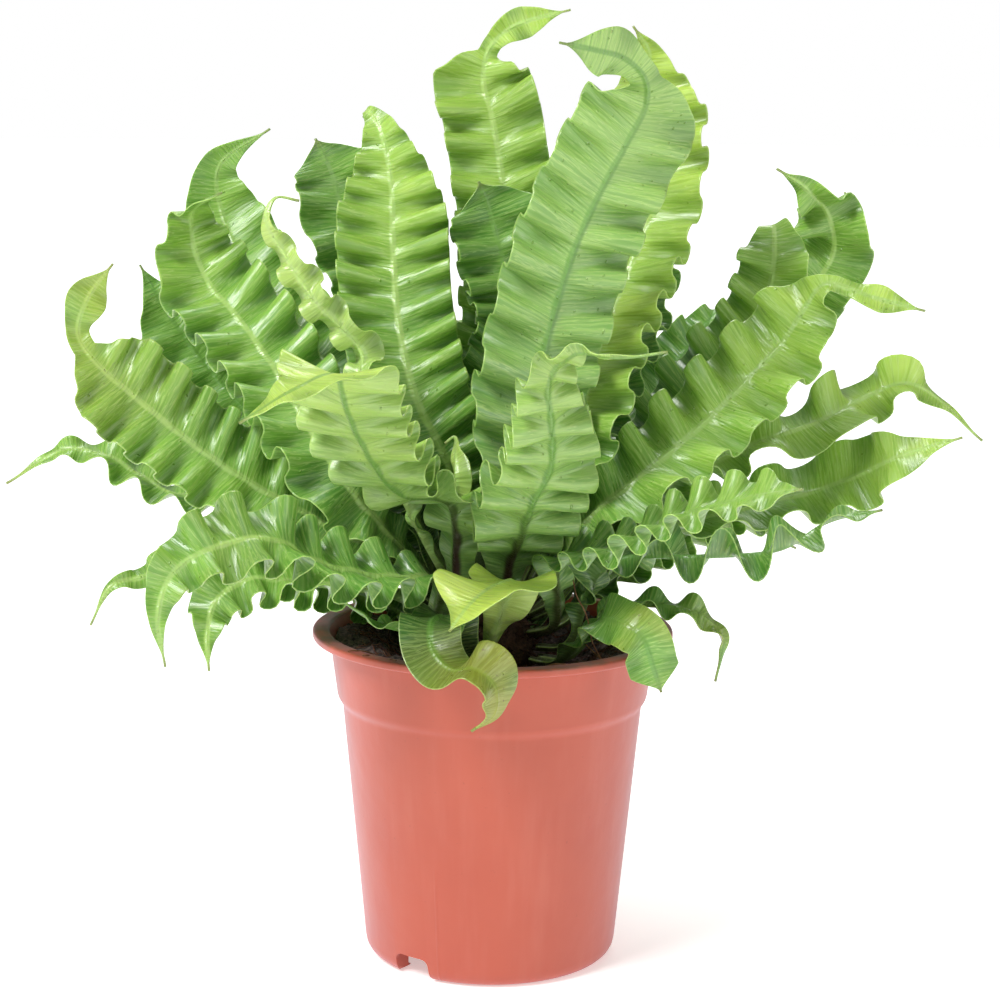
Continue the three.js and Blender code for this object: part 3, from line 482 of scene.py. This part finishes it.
def half_width(share, width, full, narrowing, flap=0):
    """A narrow stalk, a long strap, a drawn-out tip and on some a flap at its end."""
    end = BLADE.flap_start if flap else 1.0
    rise = BLADE.stipe + (width - BLADE.stipe) * smooth(BLADE.stipe_share, full, share)
    rest = np.clip((share - narrowing) / (end - narrowing), 0, 1)
    fall = width * (1 - rest) ** BLADE.taper * (1 + BLADE.belly * rest)
    up_flap = BLADE.flap_neck + (1 - BLADE.flap_neck) * smooth(BLADE.flap_start, 1, share)
    widest = np.maximum(np.minimum(rise, fall), flap * np.sin(np.pi * up_flap))
    return np.maximum(widest, BLADE.tip)


def wander(draw, share, cells, size):
    """Smooth random values along the blade, each within size of zero."""
    return eased(draw.uniform(-size, size, cells + 2), np.clip(share, 0, 1) * cells)


def frond_surfaces(seat, size, shape, path, draw, curl):
    """Upper and under points of a blade, [row][column], with its distances and its wave."""
    width, waves, wave_height, phase = size
    rows = max(round(BLADE.rows_per_wave * waves), BLADE.fewest_rows)
    stations, place, forward, up, side, bend = spine_frames(seat, path, rows)
    share = stations / stations[-1]
    u = np.array([-c for c in reversed(COLUMNS)] + [0.0] + COLUMNS)
    base = half_width(share, width, *shape[:3])
    fade_start = shape[3] if len(shape) > 3 else BLADE.wave_fade
    fading = 1 - BLADE.fade * smooth(fade_start, fade_start + BLADE.fade_length, share)
    grown = smooth(BLADE.wave_start, BLADE.wave_full, share) * fading
    across, lift, ahead, wave = np.zeros((4, rows + 1, len(u)))
    for sign in (-1, 1):
        room = BLADE.tightest / np.maximum(bend * sign, 1e-4)
        half = base * room / (base**4 + room**4) ** 0.25
        jitter = np.radians(wander(draw, share, int(waves), BLADE.jitter))
        vigour = 1 + wander(draw, share, int(waves), BLADE.vigour)
        height = wave_height * grown * vigour * np.minimum(1, half / (BLADE.wave_room * width))
        lag = BLADE.side_lag if sign > 0 else 0
        angle = 2 * np.pi * waves * share + math.radians(phase + lag) + jitter
        lean = BLADE.lean * half * (1 - smooth(BLADE.lean_end, 1, share))
        for j in np.flatnonzero(np.sign(u) == sign):
            out = abs(u[j])
            across[:, j] = u[j] * half
            lift[:, j] = out * height * np.sin(angle) + BLADE.cup * half * out**1.5
            ahead[:, j] = out * (lean - curl * height * np.sin(2 * angle))
            wave[:, j] = out * np.sin(angle)
    middle = (place[:, None] + side[:, None] * across[..., None]
              + up[:, None] * lift[..., None] + forward[:, None] * ahead[..., None])
    normal = unit(np.cross(np.gradient(middle, axis=1), np.gradient(middle, axis=0)))
    slim = smooth(1.0, 0.0, share)[:, None]
    distance = np.abs(across)
    sheet = SHEET.margin + SHEET.gain * smooth(1.0, SHEET.thins_from, np.abs(u))[None]
    faces = []
    for sign, (height, height_gain, reach, reach_gain) in zip((1, -1), RIBS):
        rib = (height + height_gain * slim) * np.exp(-(distance / (reach + reach_gain * slim)) ** 2)
        faces.append(middle + sign * normal * (sheet + rib)[..., None])
    return *faces, across, stations, share, np.abs(u), wave


def frond_faces(rows, columns):
    """Both faces of a blade and the strips that close its edges."""
    count = rows * columns
    faces = grid_faces(rows, columns)
    faces += [tuple(count + corner for corner in reversed(face)) for face in grid_faces(rows, columns)]
    for i in range(rows - 1):
        left, right = i * columns, i * columns + columns - 1
        faces.append((left, left + columns, count + left + columns, count + left))
        faces.append((right, count + right, count + right + columns, right + columns))
    last = (rows - 1) * columns
    for j in range(columns - 1):
        faces.append((j, count + j, count + j + 1, j + 1))
        faces.append((last + j, last + j + 1, count + last + j + 1, count + last + j))
    return faces


def hold(piece, name, over, under):
    """Keeps three values at each point of a blade: those of its upper face, then of its under face."""
    faces = [np.stack(np.broadcast_arrays(*values), axis=-1).reshape(-1, 3) for values in (over, under)]
    attribute = piece.data.attributes.new(name, "FLOAT_VECTOR", "POINT")
    attribute.data.foreach_set("vector", np.ascontiguousarray(np.concatenate(faces), np.float32).ravel())


def make_frond(name, material, draw):
    curl = BLADE.calm_curl if name in CALM_FRONDS else BLADE.curl
    over, under, across, stations, share, edge, wave = frond_surfaces(*FRONDS[name], draw, curl)
    points = np.concatenate([over.reshape(-1, 3), under.reshape(-1, 3)])
    piece = make_mesh(f"leaf_{name}", points, frond_faces(*across.shape))
    everywhere = np.ones_like(across)
    blade = (across, stations[:, None], edge[None])
    age, yellowing, wet, dark_rib = LOOKS.get(name, USUAL_LOOK)
    kind = (age * everywhere, yellowing, wet)
    trait = (dark_rib * everywhere, draw.uniform(), draw.uniform())
    hold(piece, "blade", blade, blade)
    # The wave, turned round on the under face, places the painted shade in the troughs of each face.
    hold(piece, "tone", (wave, share[:, None], 0.0), (-wave, share[:, None], 1.0))
    hold(piece, "kind", kind, kind)
    hold(piece, "trait", trait, trait)
    place_piece(piece, material, "frond", f"frond_{name}")


# ---------------------------------------------------------------- pot
def rounded(corners, steps=6):
    """An outline with each corner (a, b, reach) rounded over that reach on both of its sides."""
    flat = [np.array(corner[:2], float) for corner in corners]
    outline = []
    for i, (_, _, reach) in enumerate(corners):
        if reach == 0:
            outline.append(flat[i])
            continue
        start = flat[i] + reach * unit(flat[i - 1] - flat[i])
        end = flat[i] + reach * unit(flat[(i + 1) % len(flat)] - flat[i])
        for t in np.linspace(0, 1, steps):
            outline.append((1 - t) ** 2 * start + 2 * t * (1 - t) * flat[i] + t**2 * end)
    return outline


def turned(profile, segments):
    """Points and faces of a profile of (radius, height) turned about +Z, from the axis back to the axis."""
    angles = np.linspace(0, 2 * np.pi, segments, endpoint=False)
    ring = np.column_stack([np.cos(angles), np.sin(angles)])
    points = [(0, 0, profile[0][1])]
    points += [(radius * c, radius * s, height) for radius, height in profile[1:-1] for c, s in ring]
    points.append((0, 0, profile[-1][1]))
    faces = grid_faces(len(profile) - 2, segments, 1, wrap=True)
    last = 1 + (len(profile) - 3) * segments
    for j in range(segments):
        k = (j + 1) % segments
        faces.append((0, 1 + k, 1 + j))
        faces.append((last + j, last + k, len(points) - 1))
    return points, faces


def prism(outline, low, high, lay):
    """A closed prism of a flat outline; lay turns (a, b, depth) into a point."""
    count = len(outline)
    points = [lay(a, b, depth) for depth in (low, high) for a, b in outline]
    faces = [tuple(reversed(range(count))), tuple(range(count, 2 * count))]
    faces += [(i, (i + 1) % count, count + (i + 1) % count, count + i) for i in range(count)]
    return points, faces


def across_foot(degrees):
    """Turns (sideways, up, outward) at an angle round the pot into a point."""
    a = math.radians(degrees)
    return lambda side, up, out: (out * math.cos(a) - side * math.sin(a),
                                  out * math.sin(a) + side * math.cos(a), up)


def pot_profile():
    """From the axis under the floor, round the foot and up outside, over the rim and down inside."""
    p = POT
    under_rim = p.height - p.rim_depth
    lean = p.foot_round * (p.body_top - p.body_bottom) / (p.body_z - p.foot_round)
    inside = p.body_bottom - p.wall
    return rounded([
        (0, p.floor - p.wall, 0),
        (inside, p.floor - p.wall, 1.5),
        (inside, p.wall, p.foot_round - p.wall),
        (p.foot_lip, p.wall, 0.5),
        (p.foot_lip, 0, 0.5),
        (p.body_bottom - lean, 0, p.foot_round),
        (p.body_top, p.body_z, 1.0),
        (p.band_bottom, p.band_z, 1.2),
        (p.band_top, under_rim - 0.5, 0.5),
        (p.rim_radius, under_rim, 0.9),
        (p.rim_radius, p.height, 1.0),
        (p.rim_inner, p.height, 0.9),
        (p.band_top - p.wall, under_rim - 1.2, 0.7),
        (p.band_bottom - p.wall, p.band_z, 0.9),
        (p.body_top - p.wall, p.body_z, 0.9),
        (inside, p.floor, 1.5),
        (0, p.floor, 0),
    ])


def notch_outline():
    """The notch's opening as (sideways, up): rounded above, and flared where it meets the foot."""
    half, top, sill = NOTCH.width / 2, NOTCH.height, NOTCH.sill
    flared = half + NOTCH.flare
    return rounded([
        (-flared, -1, 0), (flared, -1, 0), (flared, sill, 0), (half, sill, 2.4),
        (half, top, 3.0), (-half, top, 3.0), (-half, sill, 2.4), (-flared, sill, 0),
    ])


def cut(piece, cutters):
    """Cuts the cutters out of the piece and removes them."""
    for cutter in cutters:
        settled(piece.modifiers.new("cut", "BOOLEAN"), object=cutter, operation="DIFFERENCE", solver="EXACT")
    graph = bpy.context.evaluated_depsgraph_get()
    result = bpy.data.meshes.new_from_object(piece.evaluated_get(graph))
    piece.modifiers.clear()
    piece.data = result
    for cutter in cutters:
        bpy.data.objects.remove(cutter)


def correct_normals(piece):
    work = bmesh.new()
    work.from_mesh(piece.data)
    bmesh.ops.recalc_face_normals(work, faces=work.faces)
    work.to_mesh(piece.data)
    work.free()


def make_pot(material):
    """The turned shell, cut by two notches and the drain holes, with short walls beside each notch."""
    shell = make_mesh("pot_body", *turned(pot_profile(), POT.segments))
    section = rounded(CHEEK)
    cutters, walls = [], []
    for degrees in (NOTCH.centre, NOTCH.centre + 180):
        lay = across_foot(degrees)
        opening = prism(notch_outline(), NOTCH.inner, NOTCH.outer, lay)
        cutters.append(make_mesh("notch_cutter", *opening))
        for sign in (-1, 1):
            middle = sign * (NOTCH.width / 2 + NOTCH.cheek_middle)
            low, high = middle - NOTCH.half_cheek, middle + NOTCH.half_cheek
            walls.append(prism(section, low, high, lambda out, up, side: lay(side, up, out)))
    for i in range(DRAIN.count):
        centre = np.array(around(DRAIN.ring, 2 * math.pi * i / DRAIN.count))
        circle = [centre + around(DRAIN.radius, t)
                  for t in np.linspace(0, 2 * math.pi, DRAIN.sides, endpoint=False)]
        hole = prism(circle, DRAIN.low, DRAIN.high, lambda a, b, up: (a, b, up))
        cutters.append(make_mesh("drain_cutter", *hole))
    cut(shell, cutters)
    cheeks = make_mesh("pot_notch_walls", *join_meshes(walls))
    for piece in (shell, cheeks):
        correct_normals(piece)
        piece.data.shade_smooth()
        piece.data.set_sharp_from_angle(angle=math.radians(POT.sharp_from))
    place_piece(shell, material, "pot", "pot")
    place_piece(cheeks, material, "pot")


# ---------------------------------------------------------------- peat and crown
def lumps(x, y, z, pitch, seed):
    """Fractal noise of about -1 to 1 at a point in millimetres."""
    return noise.fractal(Vector((x / pitch + seed, y / pitch, z / pitch)), *OCTAVES)


def soil_height(x, y):
    """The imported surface's low waves with clods on them."""
    r = math.hypot(x, y)
    waves = math.sin(0.31 * x + 0.7) * math.cos(0.27 * y) + 0.7 * math.sin(0.19 * x - 0.36 * y + 2)
    waved = SOIL.level + SOIL.bump * waves * float(smooth(SOIL.calm, SOIL.bumpy, r))
    bank = float(smooth(SOIL.bank_start, SOIL.bank_full, r))
    facing = max(0.0, math.cos(math.atan2(y, x) - math.radians(SOIL.heap_heading)))
    clods = sum(height * lumps(x, y, 0, pitch, seed) for height, pitch, seed in CLODS)
    uneven = 0.6 + lumps(x, y, 0, DIP.pitch, DIP.seed)
    dip = DIP.depth * float(smooth(DIP.start, DIP.full, r)) * uneven
    return waved + (SOIL.bank + SOIL.heap * facing) * bank + clods - dip


def make_soil(material):
    """The peat from the pot's floor up to its clods, close inside the wall."""
    wall = POT.wall + GAP
    band_height = POT.height - POT.rim_depth - POT.band_z
    up_band = (SOIL.level + SOIL.bank - POT.band_z) / band_height
    outside = POT.band_bottom + (POT.band_top - POT.band_bottom) * up_band
    floor = POT.floor + GAP
    profile = [(0, floor), (POT.body_bottom - wall, floor), (POT.body_top - wall, POT.body_z),
               (POT.band_bottom - wall, POT.band_z + GAP)]
    rings = (outside - POT.wall - SOIL.edge_gap) * np.linspace(1, SOIL.innermost, SOIL.rings)
    profile += [(radius, SOIL.level) for radius in rings] + [(0, SOIL.level)]
    points, faces = turned(profile, SOIL.segments)
    points = [(x, y, soil_height(x, y)) if z == SOIL.level else (x, y, z) for x, y, z in points]
    place_piece(make_mesh("peat_surface", points, faces), material, "soil", "soil")


def clod_shape():
    """Points and faces of a small ball to be shaped into clods."""
    work = bmesh.new()
    bmesh.ops.create_icosphere(work, subdivisions=2, radius=1.0)
    points = np.array([vertex.co[:] for vertex in work.verts])
    faces = [tuple(vertex.index for vertex in face.verts) for face in work.faces]
    work.free()
    return points, faces


def make_crumbs(material, draw):
    ball, faces = clod_shape()
    parts = []
    for _ in range(CRUMBS.count):
        radius = math.sqrt(draw.uniform(CRUMBS.inner**2, CRUMBS.outer**2))
        x, y = around(radius, draw.uniform(0, 2 * math.pi))
        size = draw.uniform(*CRUMBS.size) * draw.uniform(0.5, 1)
        stretch = draw.uniform(*CRUMBS.stretch, 3)
        seed = draw.uniform(0, 50)
        bumps = [1 + CRUMBS.rough * lumps(*(8 * point), 6, seed) for point in ball]
        turn = np.array(Matrix.Rotation(draw.uniform(0, 6.28), 3, draw.normal(size=3)))
        clod = (ball * np.array(bumps)[:, None] * stretch * size) @ turn.T
        parts.append((clod + (x, y, soil_height(x, y) + 0.3 * size), faces))
    place_piece(make_mesh("peat_crumbs", *join_meshes(parts)), material, "soil")


def thread(points, radii, sides=5):
    """A thin closed tube through points, with a radius at each."""
    points = np.asarray(points, float)
    forward = unit(np.gradient(points, axis=0))
    off_every_thread = np.array([0.31, 0.17, 0.94])
    side = unit(np.cross(forward, off_every_thread))
    up = np.cross(side, forward)
    angles = np.linspace(0, 2 * np.pi, sides, endpoint=False)
    rings = [points[i] + radii[i] * (math.cos(a) * side[i] + math.sin(a) * up[i])
             for i in range(len(points)) for a in angles]
    faces = [tuple(reversed(face)) for face in grid_faces(len(points), sides, wrap=True)]
    faces.append(tuple(range(sides)))
    faces.append(tuple(reversed(range((len(points) - 1) * sides, len(points) * sides))))
    return rings, faces


def lying_fibre(draw, x, y, length):
    """A bent fibre that lies on the peat, its ends rising a little."""
    heading = draw.uniform(0, 2 * math.pi)
    turn = draw.uniform(-FIBRE.bend, FIBRE.bend)
    lift = draw.uniform(*FIBRE.rise)
    step = length / FIBRE.steps
    points = []
    for i in range(FIBRE.steps + 1):
        t = i / FIBRE.steps
        if math.hypot(x, y) < FIBRE.end:
            points.append((x, y, soil_height(x, y) + 0.25 + lift * (2 * t - 1) ** 2))
        x += step * math.cos(heading)
        y += step * math.sin(heading)
        heading += 2 * step * turn
        turn += draw.uniform(-0.05, 0.05)
    return points


def make_fibres(name, material, draw, count, radius_range, loose):
    """Fibres strewn on the peat, and the loose ones through their own knots."""
    parts = []
    for _ in range(count):
        distance = math.sqrt(draw.uniform(FIBRE.inner**2, FIBRE.outer**2))
        start = around(distance, draw.uniform(0, 2 * math.pi))
        points = lying_fibre(draw, *start, draw.uniform(*FIBRE.length))
        if len(points) > 3:
            swell = np.sin(np.linspace(0.35, math.pi - 0.35, len(points)))
            parts.append(thread(points, draw.uniform(*radius_range) * swell))
    for knots, radius in loose:
        points, _ = curve_through(knots, 5)
        parts.append(thread(points, np.full(len(points), radius)))
    place_piece(make_mesh(name, *join_meshes(parts)), material, "soil")


def make_crown(material, draw):
    """The dome of old leaf bases, with narrow brown scales between the stalks."""
    rows, columns = DOME.rows, DOME.columns
    size = np.subtract((CROWN.radius, CROWN.radius, CROWN.rise), DOME.inset)
    points = []
    for i in range(rows):
        rise = math.radians(DOME.lowest + DOME.sweep * i / (rows - 1))
        for j in range(columns):
            outward = ray(2 * math.pi * j / columns, rise)
            swell = 1 + DOME.swell * lumps(*(outward * DOME.grain), DOME.pitch, DOME.seed)
            points.append(outward * swell * size + (0, 0, CROWN.base))
    faces = grid_faces(rows, columns, wrap=True)
    faces.append(tuple(reversed(range(columns))))
    place_piece(make_mesh("crown_dome", points, faces), material, "crown", "crown")
    parts = []
    for _ in range(SCALES.count):
        azimuth, rise = draw.uniform(0, 360), draw.uniform(SCALES.lowest, SCALES.highest)
        point, normal = seat_of(azimuth, rise)
        drift = unit(normal + draw.normal(size=3) * SCALES.drift)
        length = draw.uniform(*SCALES.length)
        bow = draw.normal(size=3) * SCALES.bow
        root = point - SCALES.sunk * normal
        spine = [root + drift * length * t + bow * t * t for t in np.linspace(0, 1, len(SCALES.taper))]
        radii = draw.uniform(*SCALES.radius) * np.array(SCALES.taper)
        parts.append(thread(spine, radii, SCALES.sides))
    place_piece(make_mesh("crown_scales", *join_meshes(parts)), material, "crown")


# ---------------------------------------------------------------- materials
def fill(socket, value):
    """Links a wire to an input, or sets the input; None leaves it alone."""
    if isinstance(value, Wire):
        value.tree.links.new(value.socket, socket)
    elif value is not None:
        socket.default_value = value


def node(tree, kind, *values, **settings):
    """A node with its settings, and its first inputs filled in order."""
    made = settled(tree.nodes.new(kind), **settings)
    for socket, value in zip(made.inputs, values):
        fill(socket, value)
    return made


class Wire:
    """A node's output. Arithmetic on it adds the nodes that do it."""

    def __init__(self, socket):
        self.socket = socket
        self.tree = socket.id_data

    def maths(self, operation, *values):
        return Wire(node(self.tree, "ShaderNodeMath", self, *values, operation=operation).outputs[0])

    def __add__(self, other):
        return self.maths("ADD", other)

    def __sub__(self, other):
        return self.maths("SUBTRACT", other)

    def __mul__(self, other):
        return self.maths("MULTIPLY", other)

    def __abs__(self):
        return self.maths("ABSOLUTE")

    def step(self, zero, one):
        """0 at one value and 1 at the other, smooth between; the first may be the larger."""
        ends = (0.0, 1.0) if zero < one else (1.0, 0.0)
        made = node(self.tree, "ShaderNodeMapRange", self, min(zero, one), max(zero, one), *ends,
                    interpolation_type="SMOOTHSTEP")
        return Wire(made.outputs[0])

    def mix(self, first, second):
        """The first colour where this is 0, the second where it is 1."""
        made = node(self.tree, "ShaderNodeMix", self, data_type="RGBA")
        fill(made.inputs[6], first)
        fill(made.inputs[7], second)
        return Wire(made.outputs[2])


def new_material(name):
    material = bpy.data.materials.new(name)
    material.use_nodes = True
    return material, material.node_tree


def finish(tree, inputs, last="Principled BSDF"):
    """Fills inputs of the last node by their names."""
    for name, value in inputs.items():
        fill(tree.nodes[last].inputs[name], value)


def mask(name, value):
    zero, one, _, _ = LAYERS[name]
    return value.step(zero, one)


def tint(colour, name, where):
    """Lays the named layer over a colour where the mask is."""
    _, _, strength, over = LAYERS[name]
    return (where * strength).mix(colour, srgb(*over))


def layer(colour, name, value):
    return tint(colour, name, mask(name, value))


def place_of(tree):
    return Wire(node(tree, "ShaderNodeTexCoord").outputs["Object"])


def vector_of(x, y, z):
    return Wire(node(x.tree, "ShaderNodeCombineXYZ", x, y, z).outputs[0])


def parts_of(vector):
    return [Wire(part) for part in node(vector.tree, "ShaderNodeSeparateXYZ", vector).outputs]


def attribute(tree, name):
    """The three values that a mesh holds at each point under a name."""
    return parts_of(Wire(node(tree, "ShaderNodeAttribute", attribute_name=name).outputs["Vector"]))


def noise_at(vector, *numbers):
    """Noise of a scale, detail and roughness."""
    return Wire(node(vector.tree, "ShaderNodeTexNoise", vector, None, *numbers).outputs[0])


def cells_at(vector, scale):
    """Distance from the middle of scattered cells, and a random value for each cell."""
    cells = node(vector.tree, "ShaderNodeTexVoronoi", vector, None, scale).outputs
    colour = node(vector.tree, "ShaderNodeSeparateColor", Wire(cells["Color"]))
    return Wire(cells["Distance"]), Wire(colour.outputs[0])


def relief(tree, heights, values):
    """Turns the surface's normal by the values, each times its height in millimetres."""
    height = None
    for name, value in values.items():
        part = value * heights[name]
        height = height + part if height else part
    finish(tree, {"Normal": Wire(node(tree, "ShaderNodeBump", 1.0, MM, None, height).outputs[0])})


class Leaf:
    """What the leaf's looks follow: the values that each blade holds, and noises laid on it."""

    def __init__(self, tree):
        self.across, self.along, self.out = attribute(tree, "blade")
        self.wave, self.share, self.under = attribute(tree, "tone")
        self.age, self.yellowing, self.wet = attribute(tree, "kind")
        self.dark_rib, self.chance, other = attribute(tree, "trait")
        self.place = place_of(tree)
        self.distance = abs(self.across)
        self.seed = other * 90.0
        self.on_blade = vector_of(self.across, self.along, self.seed)
        self.blotch = noise_at(self.place, *NOISES["blotch"])
        self.streaks, self.folds = (
            noise_at(vector_of(self.along * along, self.distance * across, self.seed), *NOISES[name])
            for name, (along, across) in DRAWN_OUT.items())
        beat = self.along * (2 * math.pi / VEINS.pitch) + self.folds * VEINS.drift
        self.veins = beat.maths("SINE") * 0.5 + 0.5


def leaf_green(leaf):
    """Young green to old green, older at the foot and younger at the tip, paler on the back."""
    years = leaf.age + (leaf.blotch - 0.5) * AGEING.blotch + (leaf.chance - 0.5) * AGEING.chance
    years = years + leaf.share.step(0.3, 1.0) * AGEING.tip + leaf.share.step(0.42, 0.06) * AGEING.foot
    ramp = node(years.tree, "ShaderNodeValToRGB", years)
    elements = ramp.color_ramp.elements
    while len(elements) < len(GREENS):
        elements.new(0.5)
    for element, (position, colour) in zip(elements, GREENS):
        element.position = position
        element.color = srgb(*colour)
    green = Wire(ramp.outputs[0])
    return leaf.under.mix(green, layer(green, "pale_back", leaf.age))


def leaf_veins_and_trough_shade(leaf, colour):
    """Fine side veins that run out from the midrib, and painted shade that darkens the troughs of the waves.
    """
    hairs = abs(leaf.streaks - 0.5)
    # The last layer is painted shade, darker green in the troughs of the waves.
    for name, value in (("dark_streaks", leaf.streaks), ("pale_streaks", leaf.streaks),
                        ("side_veins", leaf.veins), ("hairlines", hairs), ("painted_trough_shade", leaf.wave)):
        colour = layer(colour, name, value)
    return colour


def leaf_rib(leaf, colour):
    """The midrib, pale or green, brown at its foot on some leaves, and the brown stalk."""
    width = leaf.share * RIB.taper + RIB.width
    rib = leaf.distance.maths("DIVIDE", width).step(1.0, 0.35)
    grown, old, dark = leaf.age.step(0.18, 0.28), leaf.age.step(0.5, 0.7), leaf.dark_rib.step(0.55, 0.85)
    green = (leaf.under * grown * RIB.green_back).maths("MAXIMUM", dark).maths("MAXIMUM", old)
    pale_tone, green_tone = (srgb(*tone) for tone in RIB_COLOURS)
    colour = (rib * RIB.strength).mix(colour, green.mix(pale_tone, green_tone))
    front = RIB.brown_front
    foot = mask("rib_foot", leaf.share) * leaf.dark_rib * (leaf.under * (1 - front) + front)
    return layer(tint(colour, "rib_foot", foot * rib), "stalk", leaf.share)


def leaf_wear(leaf, colour):
    """The pale margin, yellowed patches with brown spots, and the withered tip."""
    patches = leaf.share.step(0.45, 0.95) * leaf.yellowing * mask("yellowed", leaf.blotch)
    distance, _ = cells_at(leaf.on_blade, SPOT_CELLS)
    colour = tint(layer(colour, "margin", leaf.out), "yellowed", patches)
    return tint(layer(colour, "withered", leaf.share), "spots", mask("spots", distance) * patches)


def leaf_material():
    """A waxy fern leaf, with drops of water in more places the wetter it is."""
    material, tree = new_material("leaf")
    leaf = Leaf(tree)
    distance, chance = cells_at(leaf.on_blade, DROPS.cells)
    drops = distance.step(0.2, 0.06) * (leaf.wet * DROPS.share).maths("GREATER_THAN", chance)
    grain, gloss = (noise_at(leaf.place, *NOISES[name]) for name in ("leaf_grain", "gloss"))
    relief(tree, LEAF_RELIEF, {"veins": leaf.veins, "streaks": leaf.streaks, "folds": leaf.folds,
                               "leaf_grain": grain, "drops": drops})
    finish(tree, {
        "Base Color": leaf_wear(leaf, leaf_rib(leaf, leaf_veins_and_trough_shade(leaf, leaf_green(leaf)))),
        "Roughness": gloss * 0.22 + 0.24 - drops * DROPS.gloss,
        **LEAF_FINISH,
    })
    return material


def pot_material():
    """Thin satin plastic with faint flow marks, scuffs and a stained rim."""
    material, tree = new_material("pot_plastic")
    place = place_of(tree)
    x, y, z = parts_of(place)
    cloud, grain, scuffs, specks, dirt = (
        noise_at(place, *NOISES[name]) for name in ("cloud", "pot_grain", "scuffs", "specks", "rim_dirt"))
    flow = vector_of(*(part * scale for part, scale in zip((x, y, z), FLOW)))
    colour = cloud.mix(*(srgb(*tone) for tone in POT_COLOURS))
    colour = layer(colour, "flow_marks", noise_at(flow, *NOISES["flow_marks"]))
    colour = layer(layer(colour, "scuffs", scuffs), "specks", specks)
    rim = z.step((POT.height - 1.1) * MM, (POT.height - 0.2) * MM)
    colour = tint(colour, "rim_dirt", rim * mask("rim_dirt", dirt))
    reach = (x * x + y * y).maths("SQRT")
    colour = tint(colour, "lip", rim * mask("lip", reach))
    beside = abs(y.maths("ARCTAN2", x) - CREASE.turn)
    crease = beside.step(CREASE.outer, CREASE.inner) * z.step(CREASE.top, CREASE.full)
    relief(tree, POT_RELIEF, {"pot_grain": grain, "cloud": cloud, "crease": crease, "scuffs": scuffs})
    finish(tree, {
        "Base Color": colour, "Roughness": cloud * 0.16 + 0.3,
        "Sheen Tint": srgb(*SHEEN_TINT), **POT_FINISH})
    return material


def rough_material(name):
    """A matt natural surface whose colour and height follow noise of its pitch."""
    dark, light, pitch, depth = ROUGH[name]
    material, tree = new_material(name)
    place = place_of(tree)
    coarse = noise_at(place, 1 / (pitch * MM), 5.0, 0.7)
    fine = noise_at(place, 5 / (pitch * MM), 3.0, 0.6)
    colour = coarse.step(0.35, 0.7).mix(srgb(*dark), srgb(*light))
    relief(tree, {"coarse": depth, "fine": 0.4 * depth}, {"coarse": coarse, "fine": fine})
    finish(tree, {
        "Base Color": (fine * 0.5).mix(colour, srgb(*dark)),
        "Roughness": fine * 0.25 + 0.7, "Specular IOR Level": 0.3})
    return material


# ---------------------------------------------------------------- floor, light and camera
def make_floor():
    """White paper whose own glow grows away from the plant, so that it has no horizon."""
    angles = np.linspace(0, 2 * np.pi, FLOOR.sides, endpoint=False)
    edge = [(*around(FLOOR.radius / MM, angle), 0) for angle in angles]
    floor = make_mesh("floor", edge, [tuple(range(FLOOR.sides))], smooth_faces=False)
    material, tree = new_material("floor_paper")
    place = place_of(tree)
    distance = Wire(node(tree, "ShaderNodeVectorMath", place, operation="LENGTH").outputs["Value"])
    near, far = ((glow, glow, glow, 1.0) for glow in (FLOOR.near_glow, FLOOR.far_glow))
    finish(tree, {
        "Base Color": noise_at(place, *NOISES["paper"]).mix(srgb(243, 243, 243), srgb(249, 249, 249)),
        "Emission Color": distance.step(FLOOR.near, FLOOR.far).mix(near, far),
        "Emission Strength": 1.0, "Roughness": 0.9, "Specular IOR Level": 0.1})
    floor.data.materials.append(material)


def make_lamp(name, place, target, size, power):
    light = settled(bpy.data.lights.new(name, "AREA"), shape="DISK", size=size, energy=power)
    turn = (Vector(target) - Vector(place)).to_track_quat("-Z", "Y").to_euler()
    settled(add_object(name, light), location=place, rotation_euler=turn)


def make_world():
    """White light from everywhere, brighter where the camera looks past the floor."""
    world = bpy.data.worlds.new("studio")
    world.use_nodes = True
    tree = world.node_tree
    sight = Wire(node(tree, "ShaderNodeLightPath").outputs["Is Camera Ray"])
    strength = node(tree, "ShaderNodeMapRange", sight, 0.0, 1.0, WORLD.ambient, WORLD.backdrop)
    finish(tree, {"Strength": Wire(strength.outputs[0]), "Color": (1.0, 1.0, 1.0, 1.0)}, "Background")
    bpy.context.scene.world = world


def make_camera():
    camera = settled(bpy.data.cameras.new("camera"), lens=CAMERA.lens, sensor_width=CAMERA.sensor,
                     clip_start=CAMERA.clip_start, clip_end=CAMERA.clip_end)
    pitch, roll = math.radians(CAMERA.pitch), math.radians(CAMERA.roll)
    forward = Vector((0, math.cos(pitch), -math.sin(pitch)))
    right, up = Vector((1, 0, 0)), Vector((0, math.sin(pitch), math.cos(pitch)))
    rolled_right = math.cos(roll) * right + math.sin(roll) * up
    rolled_up = math.cos(roll) * up - math.sin(roll) * right
    turn = Matrix((rolled_right, rolled_up, -forward)).transposed().to_4x4()
    place = Matrix.Translation(Vector(CAMERA.place) * MM)
    bpy.context.scene.camera = settled(add_object("camera", camera), matrix_world=place @ turn)


# ---------------------------------------------------------------- assembly
make_camera()
make_world()
make_floor()
for lamp in LAMPS:
    make_lamp(*lamp)
bpy.context.scene.view_settings.view_transform = "Standard"

leaf = leaf_material()
for seed, name in enumerate(FRONDS, FIRST_FROND_SEED):
    make_frond(name, leaf, np.random.default_rng(seed))
make_pot(pot_material())
draw = np.random.default_rng(PEAT_SEED)
peat = rough_material("peat")
make_soil(peat)
make_crumbs(peat, draw)
for shade, (count, radius_range, loose) in FIBRES.items():
    make_fibres(f"peat_fibres_{shade}", rough_material(f"fibre_{shade}"), draw, count, radius_range, loose)
make_crown(rough_material("rhizome"), draw)

bpy.context.view_layer.update()
